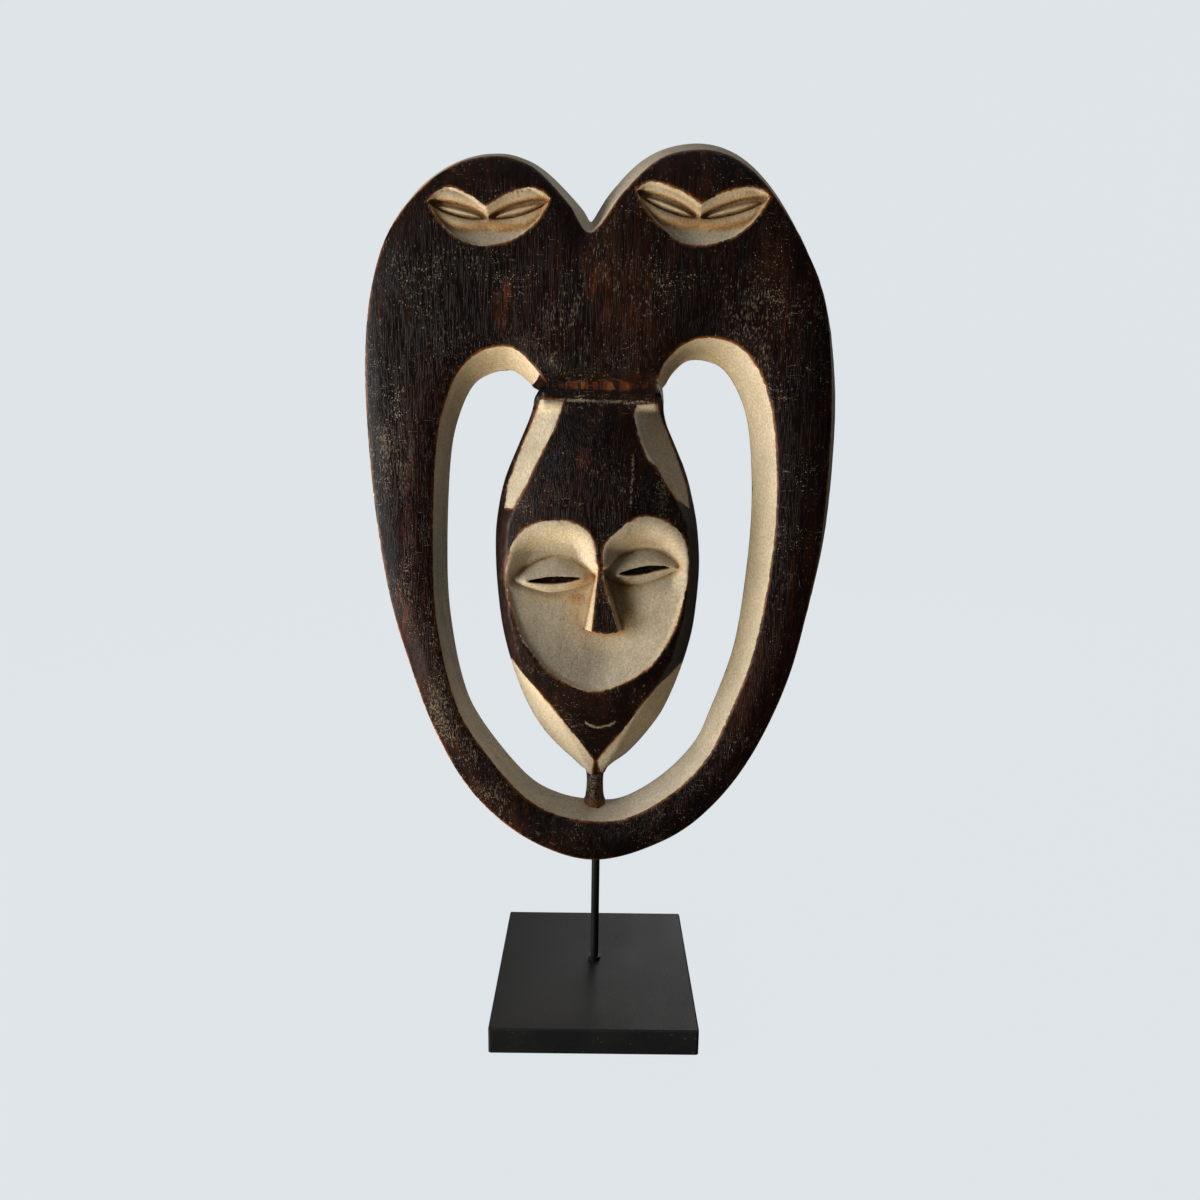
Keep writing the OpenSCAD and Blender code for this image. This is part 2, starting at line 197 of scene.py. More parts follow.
RUB_SPOTS = [
    (-66, 384, 12, 26, 0.70), (-4, 398, 11, 30, 0.90), (20, 376, 13, 14, 0.65), (-128, 270, 12, 50, 0.65),
    (-40, 372, 16, 10, 0.45), (-133, 190, 10, 34, 0.80), (14, 300, 10, 18, 0.45), (-10, 290, 9, 18, 0.6),
    (110, 400, 16, 18, 0.30), (134, 250, 10, 40, 0.3), (-50, 25, 30, 8, 0.55), (40, 18, 30, 6, 0.5),
    (-2, 335.6, 32, 3.0, 2.2), (80, 60, 14, 10, 0.4),
]
# Radius and height of the backdrop, in metres.
SWEEP_PROFILE = [
    (1.3, 0.0), (1.9, 0.02), (2.5, 0.12), (3.1, 0.40), (3.6, 0.95), (3.9, 1.7), (4.0, 2.6), (4.0, 4.2),
    (3.7, 5.4), (2.9, 6.4), (1.7, 7.1), (0.4, 7.4), (0.01, 7.4),
]
# Bevel width of each stand piece, in millimetres.
EDGE_WIDTHS = {"base_block": 0.5, "foot_collar": 0.35, "foot_washer": 0.2, "foot_nut": 0.3, "stand_rod": 0.3}


class Body(Enum):
    """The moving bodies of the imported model."""

    BASE = "base"
    ROD = "rod"
    MASK = "mask"


class Slot(Enum):
    """The material slots of the record."""

    WOOD = "carved_wood"
    ENAMEL = "rod_enamel"
    PAINT = "block_paint"
    ZINC = "zinc_steel"
    FELT = "felt"


# ---------------------------------------------------------------- shader writing


class Signal:
    """A value or colour that flows through a material, with arithmetic on values."""

    def __init__(self, shop: "NodeShop", socket: bpy.types.NodeSocket) -> None:
        """Wraps an output socket.

        Args:
            shop: The writer that owns the material's nodes.
            socket: The output to read from.
        """
        self.shop = shop
        self.socket = socket

    def _math(self, kind: str, *parts: "Signal | float") -> "Signal":
        """Adds a Math node on the parts and returns its value."""
        return self.shop.node("ShaderNodeMath", {"operation": kind}, dict(enumerate(parts)))

    def __add__(self, other: "Signal | float") -> "Signal":
        """Sum."""
        return self._math("ADD", self, other)

    def __sub__(self, other: "Signal | float") -> "Signal":
        """Difference."""
        return self._math("SUBTRACT", self, other)

    def __rsub__(self, other: float) -> "Signal":
        """Difference from a number."""
        return self._math("SUBTRACT", other, self)

    def __mul__(self, other: "Signal | float") -> "Signal":
        """Product."""
        return self._math("MULTIPLY", self, other)

    __radd__ = __add__
    __rmul__ = __mul__

    def peak(self, other: "Signal | float") -> "Signal":
        """The larger of two values."""
        return self._math("MAXIMUM", self, other)

    def step(self, start: float, end: float) -> "Signal":
        """Rises smoothly from 0 at start to 1 at end; end may be the lower of the two.

        Args:
            start: The value that gives 0.
            end: The value that gives 1.

        Returns:
            The smooth step.
        """
        flip = end < start
        lo, hi = (end, start) if flip else (start, end)
        return self.shop.node(
            "ShaderNodeMapRange",
            {"interpolation_type": "SMOOTHSTEP"},
            {"Value": self, "From Min": lo, "From Max": hi, "To Min": float(flip), "To Max": float(not flip)},
        )


class NodeShop:
    """Writes the nodes of one material."""

    def __init__(self, name: str) -> None:
        """Starts an empty material.

        Args:
            name: The material's name.
        """
        self.material = bpy.data.materials.new(name)
        self.material.use_nodes = True
        self.tree = self.material.node_tree
        self.tree.nodes.clear()

    def node(
        self, kind: str, settings: dict | None = None, inputs: dict | None = None, out: int | str = 0
    ) -> Signal:
        """Adds a node, sets it up and returns one of its outputs.

        Args:
            kind: The node's type.
            settings: Properties to set first, by name.
            inputs: Values or signals by input name or index.
            out: The output to return.

        Returns:
            The chosen output.
        """
        made = self.tree.nodes.new(kind)
        for key, value in (settings or {}).items():
            setattr(made, key, value)
        for key, value in (inputs or {}).items():
            if isinstance(value, Signal):
                self.tree.links.new(value.socket, made.inputs[key])
            else:
                made.inputs[key].default_value = value
        return Signal(self, made.outputs[out])

    def place(self, x: float, y: float, z: float) -> Signal:
        """The surface point in the object's metres, scaled along each axis.

        Args:
            x: Cycles per metre across.
            y: Cycles per metre front to back.
            z: Cycles per metre upwards.

        Returns:
            The scaled point.
        """
        point = self.node("ShaderNodeTexCoord", out="Object")
        return self.node("ShaderNodeVectorMath", {"operation": "MULTIPLY"}, {0: point, 1: (x, y, z)})

    def grain(
        self, x: float, y: float, z: float, detail: float = 2.0, rough: float = 0.5, shift: float = 0.0
    ) -> Signal:
        """Noise stretched along the axes.

        Args:
            x: Cycles per metre across.
            y: Cycles per metre front to back.
            z: Cycles per metre upwards.
            detail: Octaves.
            rough: Strength of the finer octaves.
            shift: Distance that moves this noise away from others of the same scale.

        Returns:
            The noise value, around 0.5.
        """
        away = (shift, shift * 1.7, shift * 0.6)
        point = self.node("ShaderNodeVectorMath", {"operation": "ADD"}, {0: self.place(x, y, z), 1: away})
        inputs = {"Vector": point, "Scale": 1.0, "Detail": detail, "Roughness": rough}
        return self.node("ShaderNodeTexNoise", {}, inputs)

    def mix(self, share: Signal | float, low: "Signal | tuple", high: "Signal | tuple") -> Signal:
        """Blends two colours.

        Args:
            share: How much of the second colour shows.
            low: First colour, linear.
            high: Second colour, linear.

        Returns:
            The blended colour.
        """
        inputs = {0: share}
        for index, colour in ((6, low), (7, high)):
            inputs[index] = colour if isinstance(colour, Signal) else (*colour, 1.0)
        return self.node("ShaderNodeMix", {"data_type": "RGBA"}, inputs, 2)

    def reading(self, name: str) -> Signal:
        """A value that the mesh carries at its points."""
        settings = {"attribute_type": "GEOMETRY", "attribute_name": name}
        return self.node("ShaderNodeAttribute", settings, out="Fac")

    def bump(
        self, height: Signal, distance: float, strength: float = 1.0, under: Signal | None = None
    ) -> Signal:
        """Relief that the light reads.

        Args:
            height: Height signal.
            distance: Metres that a height of 1 stands for.
            strength: Share of the relief that shows.
            under: A coarser relief beneath this one.

        Returns:
            The bent normal.
        """
        inputs = {"Height": height, "Distance": distance, "Strength": strength}
        if under is not None:
            inputs["Normal"] = under
        return self.node("ShaderNodeBump", {}, inputs)

    def finish(self, **inputs: "Signal | float | tuple") -> bpy.types.Material:
        """Closes the material with one Principled shader.

        Args:
            inputs: Shader inputs, with underscores for the spaces in their names.

        Returns:
            The material.
        """
        named = {key.replace("_", " "): value for key, value in inputs.items()}
        shader = self.node("ShaderNodeBsdfPrincipled", {}, named, "BSDF")
        self.node_out(shader)
        return self.material

    def node_out(self, shader: Signal) -> None:
        """Links the shader to the material's output."""
        end = self.tree.nodes.new("ShaderNodeOutputMaterial")
        self.tree.links.new(shader.socket, end.inputs["Surface"])


# ---------------------------------------------------------------- finishes


@dataclass(frozen=True)
class CarvedWood:
    """Dark stained wood with chalky paint in the carving, rubbed through at the arrises."""

    stain: tuple = (0.0052, 0.0021, 0.0013)
    stain_warm: tuple = (0.022, 0.0062, 0.0022)
    rub: tuple = (0.150, 0.034, 0.008)
    amber: tuple = (0.21, 0.064, 0.010)
    fleck: tuple = (0.34, 0.27, 0.19)
    burnt: tuple = (0.20, 0.066, 0.016)
    chalk: tuple = (0.64, 0.555, 0.415)
    chalk_cool: tuple = (0.54, 0.465, 0.35)
    shade: tuple = (0.40, 0.325, 0.225)
    # patina and wash also paint shade: the shadow right of the nose and the darkening towards the back of the
    # walls
    patina: tuple = (0.30, 0.145, 0.045)
    wash: tuple = (0.50, 0.355, 0.190)
    # dust is also the colour of the painted sheen on the lower left limb
    dust: tuple = (0.34, 0.27, 0.175)

    def material(self) -> bpy.types.Material:
        """Builds the finish.

        Returns:
            The material.
        """
        shop = NodeShop("carved_wood")
        paint = shop.reading("paint_mm")
        # patina and dust from the mesh, with painted shade on the walls and beside the nose and a painted
        # sheen on the lower left limb
        grime = shop.reading("grime")
        rub = shop.reading("rub")
        wobble = (shop.grain(420, 420, 300, 3.0, 0.6) - 0.5) * 2.2
        edge = paint + wobble
        painted = edge.step(-0.25, 0.25)
        stain = self._stain(shop, rub, grime)
        worn = self._worn_edge(shop, stain, edge)
        chalk = self._chalk(shop, grime, edge)
        colour = shop.mix(painted, worn, chalk)
        fibre = shop.grain(1500, 1500, 85, 2.0, 0.6, 3.0)
        tooth = shop.grain(1600, 1600, 1300, 2.0, 0.6, 9.0)
        broad = shop.grain(60, 60, 26, 2.0, 0.5, 5.0)
        rough = 0.24 + (1.0 - fibre.step(0.35, 0.6)) * 0.12 + shop.grain(35, 35, 22, 3.0, 0.6, 2.0) * 0.20
        roughness = rough + painted * (0.86 - rough)
        tooling = shop.bump(broad, 0.0016, 0.55)
        grit = fibre.step(0.30, 0.52) * (1.0 - painted * 0.8) + tooth * painted * 1.3
        pores = shop.bump(grit, 0.00016, 0.8, tooling)
        return shop.finish(Base_Color=colour, Roughness=roughness, Normal=pores, Specular_IOR_Level=0.18)

    def _stain(self, shop: NodeShop, rub: Signal, dust_and_sheen: Signal) -> Signal:
        """The dark stained face with its flecks, rubbed patches and pale dust haze; on the lower left limb
        the haze is a painted sheen.

        Args:
            shop: Node writer.
            rub: Where handling has rubbed the stain.
            dust_and_sheen: Where pale dust lies, and where the haze paints a sheen on the lower left limb.

        Returns:
            The colour.
        """
        cloud = shop.grain(26, 26, 13, 4.0, 0.62, 1.0)
        streak = shop.grain(210, 210, 14, 3.0, 0.6, 4.0)
        warm = shop.mix((cloud * 0.6 + streak * 0.5).step(0.48, 0.74), self.stain, self.stain_warm)
        patch = (rub + (shop.grain(85, 85, 42, 4.0, 0.7, 7.0) - 0.5) * 2.0).step(0.50, 1.15)
        handled = shop.mix(patch * (streak.step(0.36, 0.62) * 0.75 + 0.08), warm, self.rub)
        bright = rub.step(0.95, 1.5) * shop.grain(170, 170, 90, 1.0, 0.5, 23.0).step(0.52, 0.63)
        rubbed = shop.mix(bright, handled, self.amber)
        fine = shop.grain(1150, 1150, 330, 1.0, 0.5, 6.0)
        long = shop.grain(1300, 1300, 75, 1.0, 0.5, 21.0)
        spread = shop.grain(34, 34, 24, 3.0, 0.65, 8.0)
        dashes = (fine + (spread - 0.5) * 0.62 + dust_and_sheen * 0.16).step(0.69, 0.76) * 0.30
        pores = (long + (spread - 0.5) * 0.40).step(0.73, 0.78) * 0.20
        dust_spread = shop.grain(24, 24, 34, 3.0, 0.65, 12.0)
        speckle = shop.grain(1250, 1250, 1050, 1.0, 0.5, 11.0)
        dots = (speckle + (dust_spread - 0.5) * 0.40 + dust_and_sheen * 0.18).step(0.74, 0.80)
        flecked = shop.mix(dashes + pores, rubbed, self.fleck)
        scratch = (shop.grain(110, 110, 1500, 1.0, 0.5, 13.0) + (dust_spread - 0.5) * 0.50).step(0.73, 0.79)
        scraped = shop.mix((dots * 0.55).peak(scratch * 0.16), flecked, self.chalk)
        # pale dust haze, which on the lower left limb is a painted sheen
        haze = (dust_and_sheen + (shop.grain(500, 500, 420, 3.0, 0.7, 27.0) - 0.5) * 1.3).step(0.36, 0.88)
        return shop.mix(haze * 0.72, scraped, self.dust)

    def _worn_edge(self, shop: NodeShop, stain: Signal, edge: Signal) -> Signal:
        """A burnt brown line where the stain meets the paint.

        Args:
            shop: Node writer.
            stain: Colour of the dark face.
            edge: Millimetres into the paint.

        Returns:
            The colour.
        """
        near = edge.step(-1.9, -0.1) * shop.grain(70, 70, 60, 3.0, 0.6, 15.0).step(0.34, 0.58)
        return shop.mix(near * 0.95, stain, self.burnt)

    def _chalk(self, shop: NodeShop, grime: Signal, edge: Signal) -> Signal:
        """Chalky paint with patina in the crevices, which also paints shade beside the nose and towards the
        back of the walls.

        Args:
            shop: Node writer.
            grime: Depth of the patina, with the painted shade beside the nose and on the walls.
            edge: Millimetres into the paint.

        Returns:
            The colour.
        """
        mottle = shop.grain(70, 70, 50, 4.0, 0.7, 16.0)
        speck = shop.grain(800, 800, 620, 2.0, 0.6, 17.0)
        dust = shop.grain(1700, 1700, 1500, 3.0, 0.7, 22.0)
        stipple = shop.grain(620, 620, 520, 5.0, 0.8, 24.0)
        even = shop.mix(mottle.step(0.34, 0.68), self.chalk, self.chalk_cool)
        base = shop.mix(stipple.step(0.38, 0.60) * 0.85, even, self.shade)
        dabs = (grime + (speck - 0.5) * 1.5 + (mottle - 0.5) * 0.9).step(0.38, 1.15)
        washed = shop.mix(grime.step(0.08, 0.75) * 0.85, base, self.wash)
        aged = shop.mix(dabs * 0.85, washed, self.patina)
        bare = (speck + (shop.grain(90, 90, 28, 3.0, 0.6, 18.0) - 0.5) * 0.6).step(0.61, 0.73)
        pitted = shop.mix((bare * 0.45).peak(dust.step(0.60, 0.74) * 0.22), aged, self.patina)
        rim = edge.step(1.3, 0.1) * shop.grain(130, 130, 110, 2.0, 0.6, 19.0).step(0.42, 0.62)
        return shop.mix(rim * 0.55, pitted, self.burnt)


@dataclass(frozen=True)
class BlackPaint:
    """Satin black paint, over wood fibre or over steel."""

    name: str
    colour: tuple = (0.0060, 0.0068, 0.0078)
    dull: tuple = (0.0095, 0.0098, 0.0100)
    dust: tuple = (0.16, 0.155, 0.145)
    roughness: float = 0.50
    tooth: float = 0.00009
    dusty: float = 0.50
    gloss: float = 0.42

    def material(self) -> bpy.types.Material:
        """Builds the finish.

        Returns:
            The material.
        """
        shop = NodeShop(self.name)
        cloud = shop.grain(22, 22, 22, 4.0, 0.6)
        fine = shop.grain(1100, 1100, 1100, 3.0, 0.65, 2.0)
        flock = shop.grain(820, 820, 820, 1.0, 0.5, 5.0)
        base = shop.mix(cloud.step(0.35, 0.7), self.colour, self.dull)
        specks = (flock + (cloud - 0.5) * 0.35).step(0.72, 0.79)
        colour = shop.mix(specks * self.dusty, base, self.dust)
        roughness = (cloud - 0.5) * 0.22 + (fine - 0.5) * 0.12 + self.roughness
        relief = shop.bump(fine, self.tooth, 0.7)
        return shop.finish(
            Base_Color=colour, Roughness=roughness, Normal=relief, Specular_IOR_Level=self.gloss
        )


@dataclass(frozen=True)
class ZincPlate:
    """Bright zinc plate with a dull bloom."""

    colour: tuple = (0.62, 0.62, 0.60)
    bloom: tuple = (0.42, 0.42, 0.41)

    def material(self) -> bpy.types.Material:
        """Builds the finish.

        Returns:
            The material.
        """
        shop = NodeShop("zinc_steel")
        cloud = shop.grain(160, 160, 160, 4.0, 0.65)
        fine = shop.grain(2600, 2600, 2600, 2.0, 0.6, 3.0)
        colour = shop.mix(cloud.step(0.4, 0.7), self.colour, self.bloom)
        roughness = cloud * 0.25 + 0.22
        relief = shop.bump(fine, 0.00003, 0.6)
        return shop.finish(Base_Color=colour, Roughness=roughness, Normal=relief, Metallic=1.0)


@dataclass(frozen=True)
class FeltPile:
    """Dark pressed felt."""

    colour: tuple = (0.035, 0.035, 0.038)
    light: tuple = (0.085, 0.085, 0.09)

    def material(self) -> bpy.types.Material:
        """Builds the finish.

        Returns:
            The material.
        """
        shop = NodeShop("felt")
        pile = shop.grain(1900, 1900, 1900, 4.0, 0.75)
        colour = shop.mix(pile.step(0.4, 0.7), self.colour, self.light)
        relief = shop.bump(pile, 0.0003, 0.9)
        return shop.finish(Base_Color=colour, Roughness=0.95, Normal=relief, Sheen_Weight=0.35)


@dataclass(frozen=True)
class PaleSweep:
    """Matt pale paper of the stage, lit from behind so that it stays even."""

    colour: tuple = (0.012, 0.013, 0.014)
    glow: tuple = (0.730, 0.775, 0.800)

    def material(self) -> bpy.types.Material:
        """Builds the finish.

        Returns:
            The material.
        """
        shop = NodeShop("pale_sweep")
        return shop.finish(
            Base_Color=(*self.colour, 1.0),
            Roughness=1.0,
            Specular_IOR_Level=0.0,
            Emission_Color=(*self.glow, 1.0),
            Emission_Strength=1.0,
        )


# ---------------------------------------------------------------- lines and fields


def smooth_line(points: list, spacing: float, closed: bool = True) -> np.ndarray:
    """Runs a smooth curve through points and cuts it into equal steps.

    Args:
        points: Rows of numbers, the first two of them a place.
        spacing: Length of a step, in millimetres.
        closed: Whether the last point joins the first.

    Returns:
        One row for each step.
    """
    rows = np.array(points, float)
    n = len(rows)
    spans = n if closed else n - 1
    fine = []
    for i in range(spans):
        pick = [(i + k) % n if closed else min(max(i + k, 0), n - 1) for k in (-1, 0, 1, 2)]
        a, b, c, d = (rows[k] for k in pick)
        t = np.linspace(0, 1, 24, endpoint=False)[:, None]
        cubic = (3 * b - a - 3 * c + d) * t**3
        fine.append(0.5 * (2 * b + (c - a) * t + (2 * a - 5 * b + 4 * c - d) * t**2 + cubic))
    line = np.vstack(fine + [rows[:1] if closed else rows[-1:]])
    gaps = np.hypot(*np.diff(line[:, :2], axis=0).T)
    along = np.concatenate([[0], np.cumsum(gaps)])
    steps = max(int(round(along[-1] / spacing)), 8)
    marks = np.linspace(0, along[-1], steps + 1)
    if closed:
        marks = marks[:-1]
    return np.column_stack([np.interp(marks, along, line[:, k]) for k in range(rows.shape[1])])


def polygon_line(points: list, spacing: float) -> np.ndarray:
    """Cuts a straight-sided closed outline into steps, keeping its corners.

    Args:
        points: Corners.
        spacing: Greatest length of a step, in millimetres.

    Returns:
        One row for each step.
    """
    rows = np.array(points, float)
    out = []
    for a, b in zip(rows, np.roll(rows, -1, axis=0)):
        steps = max(int(math.ceil(np.hypot(*(b - a)[:2]) / spacing)), 1)
        out.append(a + (b - a) * (np.arange(steps) / steps)[:, None])
    return np.vstack(out)


def inside(points: np.ndarray, loop: np.ndarray) -> np.ndarray:
    """Tells which points lie inside a closed outline.

    Args:
        points: Places.
        loop: Closed outline.

    Returns:
        True for each point inside.
    """
    result = np.zeros(len(points), bool)
    px, py = points[:, 0], points[:, 1]
    for (ax, ay), (bx, by) in zip(loop[:, :2], np.roll(loop[:, :2], -1, axis=0)):
        if ay == by:
            continue
        crosses = (ay > py) != (by > py)
        result ^= crosses & (px < (bx - ax) * (py - ay) / (by - ay) + ax)
    return result


def distance(points: np.ndarray, loop: np.ndarray, closed: bool = True) -> np.ndarray:
    """Distance from each point to a line.

    Args:
        points: Places.
        loop: The line's points.
        closed: Whether the last point joins the first.

    Returns:
        Distances.
    """
    a = loop[:, :2] if closed else loop[:-1, :2]
    b = np.roll(loop[:, :2], -1, axis=0) if closed else loop[1:, :2]
    ab = b - a
    length = np.maximum((ab**2).sum(1), 1e-12)
    best = np.full(len(points), 1e9)
    for start in range(0, len(points), 4000):
        p = points[start : start + 4000, None, :2]
        t = np.clip(((p - a) * ab).sum(2) / length, 0, 1)
        gap = p - (a + t[..., None] * ab)
        best[start : start + 4000] = np.sqrt((gap**2).sum(2)).min(1)
    return best


def signed(points: np.ndarray, loop: np.ndarray) -> np.ndarray:
    """Distance to a closed outline, positive inside it."""
    return np.where(inside(points, loop), 1.0, -1.0) * distance(points, loop)


def ease(value: np.ndarray, start: float, end: float) -> np.ndarray:
    """Smooth step from 0 at start to 1 at end."""
    t = np.clip((value - start) / (end - start), 0, 1)
    return t * t * (3 - 2 * t)


def between_loops(points: np.ndarray, outer: np.ndarray, inner: np.ndarray) -> np.ndarray:
    """How far each point is on the way from an outer outline to the outline inside it.

    Args:
        points: Places.
        outer: Outer closed outline, where the share is 0.
        inner: Inner closed outline, where the share is 1.

    Returns:
        Shares from 0 to 1.
    """
    out_gap = distance(points, outer)
    in_gap = distance(points, inner)
    share = out_gap / np.maximum(out_gap + in_gap, 1e-9)
    share = np.where(inside(points, inner), 1.0, share)
    return np.where(inside(points, outer), share, 0.0)


def normals_of(loop: np.ndarray, reach: int) -> np.ndarray:
    """Unit vectors to the right of a closed line, smoothed over some steps each way."""
    along = np.roll(loop[:, :2], -reach, axis=0) - np.roll(loop[:, :2], reach, axis=0)
    along /= np.maximum(np.hypot(*along.T), 1e-9)[:, None]
    return np.column_stack([along[:, 1], -along[:, 0]])


def ripple(points: np.ndarray, x_scale: float, h_scale: float, seed: float) -> np.ndarray:
    """Smooth unevenness left by the tools, from about -1 to 1.

    Args:
        points: Places, in millimetres.
        x_scale: Size of a patch across.
        h_scale: Size of a patch upwards.
        seed: Moves the pattern.

    Returns:
        One value for each point.
    """
    return np.array([noise.noise(Vector((x / x_scale, h / h_scale, seed))) for x, h in points[:, :2]])


# ---------------------------------------------------------------- the carving


@dataclass
class HornMotif:
    """One pair of closed eyes over a crescent, carved in a horn."""

    left_tip: tuple
    left_top: tuple
    cleft: tuple
    right_top: tuple
    right_tip: tuple
    crescent: list
    join: tuple
    depth: float = 7.6

    def __post_init__(self) -> None:
        """Draws the outlines."""
        corners = (self.left_tip, self.left_top, self.cleft, self.right_top, self.right_tip, self.join)
        lt, lp, cl, rp, rt, join = (np.array(corner, float) for corner in corners)
        left_rise = [lt, lt * 0.6 + lp * 0.4 + [0, 2.2], lp, lp * 0.45 + cl * 0.55 + [0.6, 1.6], cl]
        right_rise = [cl, rp * 0.45 + cl * 0.55 + [-0.6, 1.6], rp, rt * 0.6 + rp * 0.4 + [0, 2.0], rt]
        top_left = smooth_line(left_rise, 1.0, closed=False)
        top_right = smooth_line(right_rise, 1.0, closed=False)
        below = smooth_line([rt, *reversed(self.crescent), lt], 1.0, closed=False)
        self.rim = np.vstack([top_left[:-1], top_right[:-1], below[:-1]])[::-1]
        low_left = smooth_line(self._fold(lt, join, -1), 1.0, closed=False)
        low_right = smooth_line(self._fold(rt, join, 1)[::-1], 1.0, closed=False)
        self.left_leaf, self.right_leaf = (self._leaf(tip, join, 4.6) for tip in (lt, rt))
        self.left_sliver, self.right_sliver = (
            self._leaf(tip * 0.88 + join * 0.12 + [0, -1.2], join * 0.9 + tip * 0.1 + [0, -0.6], 2.3)
            for tip in (lt, rt)
        )
        self.band = np.vstack([low_left[:-1], low_right]) + [0, -3.4]
        self.centre = join

    @staticmethod
    def _fold(tip: np.ndarray, join: np.ndarray, side: int) -> list:
        """Points of the band under one leaf.

        Args:
            tip: The leaf's outer end.
            join: Its inner end.
            side: -1 on the left, 1 on the right.

        Returns:
            The points, from the tip inwards.
        """
        near_tip = tip * 0.62 + join * 0.38 + [1.5 * side, -6.5]
        near_join = tip * 0.25 + join * 0.75 + [1.0 * side, -4.4]
        return [tip, near_tip, near_join, join]

    @staticmethod
    def _leaf(tip: np.ndarray, foot: np.ndarray, half: float) -> np.ndarray:
        """Closed leaf between two points.

        Args:
            tip: Outer end.
            foot: Inner end.
            half: Half its width.

        Returns:
            The outline.
        """
        along = foot - tip
        across = np.array([-along[1], along[0]]) / np.hypot(*along)
        t = np.linspace(0, math.pi, 22)
        middle = tip + along * ((1 - np.cos(t)) / 2)[:, None]
        swell = across * (half * np.sin(t) ** 1.15)[:, None]
        return np.vstack([(middle + swell)[:-1], (middle - swell)[:0:-1]])

    def lines(self) -> list:
        """Closed outlines that the mesh follows."""
        return [self.rim, self.left_leaf, self.right_leaf, self.left_sliver, self.right_sliver]

    def carve(self, points: np.ndarray, depth: np.ndarray, grime: np.ndarray) -> tuple:
        """Cuts the motif into the board.

        Args:
            points: Places.
            depth: Surface depth towards the viewer so far.
            grime: Patina and painted light so far.

        Returns:
            The new depth, the paint distance and the new patina and painted light.
        """
        near = np.hypot(*(points - self.centre).T) < 60
        p = points[near]
        rim = signed(p, self.rim)
        leaf = np.maximum(signed(p, self.left_leaf), signed(p, self.right_leaf))
        sliver = np.maximum(signed(p, self.left_sliver), signed(p, self.right_sliver))
        band = distance(p, self.band, closed=False)
        is_low = p[:, 1] < np.interp(p[:, 0], self.band[:, 0], self.band[:, 1])
        above = ease(-leaf, 0.0, 5.5)
        # the crescent falls in from its rim to a crease under the rounded band that carries the leaves
        hollow = -2.6 * ease(rim, 0.0, 1.7) - 2.4 * ease(rim, 0.5, 9.0)
        arch = np.sqrt(np.clip(1 - ((leaf + 3.2) / 5.2) ** 2, 0, 1))
        swell = -self.depth * 0.82 + self.depth * 0.60 * arch
        low_side = np.where(is_low, np.minimum(hollow, 0), swell)
        low_side = np.where(is_low & (band < 3.0), np.maximum(low_side, swell - band * 0.9), low_side)
        low_side = np.maximum(low_side, -ease(rim, 0.0, 2.2) * self.depth)
        groove = -self.depth * 0.92
        inner = groove + self.depth * 0.62 * np.sqrt(ease(sliver, -0.2, 2.2))
        in_leaf = -self.depth * 0.35 - (self.depth * 0.57) * ease(leaf, 0.0, 1.1)
        in_leaf = np.where(sliver > -0.2, np.maximum(in_leaf, inner), in_leaf)
        cut = np.where(leaf > 0, in_leaf, low_side)
        upper_lip = (~is_low) & (leaf <= 0) & (p[:, 1] > self.centre[1] - 2)
        lip = -self.depth * 0.35 * ease(rim, 0.0, 2.5)
        cut = np.where(upper_lip & (above < 0.9), np.maximum(cut, lip), cut)
        cut = np.where(rim > 0, np.minimum(cut, 0), 0)
        depth[near] += cut
        creases = np.exp(-np.abs(leaf - 0.6) / 0.7) * 0.9 + np.exp(-band / 1.6) * 0.75
        creases += np.exp(-np.abs(sliver + 0.3) / 0.6) * 0.8
        gold = np.where(is_low, 0.62 * np.exp(-(((band - 1.5) / 3.4) ** 2)), 0.34)
        grime[near] = np.maximum(grime[near], np.clip(creases + gold, 0, 1) * ease(rim, -0.5, 0.6))
        paint = np.full(len(points), FAR_OUT)
        paint[near] = rim
        return depth, paint, grime


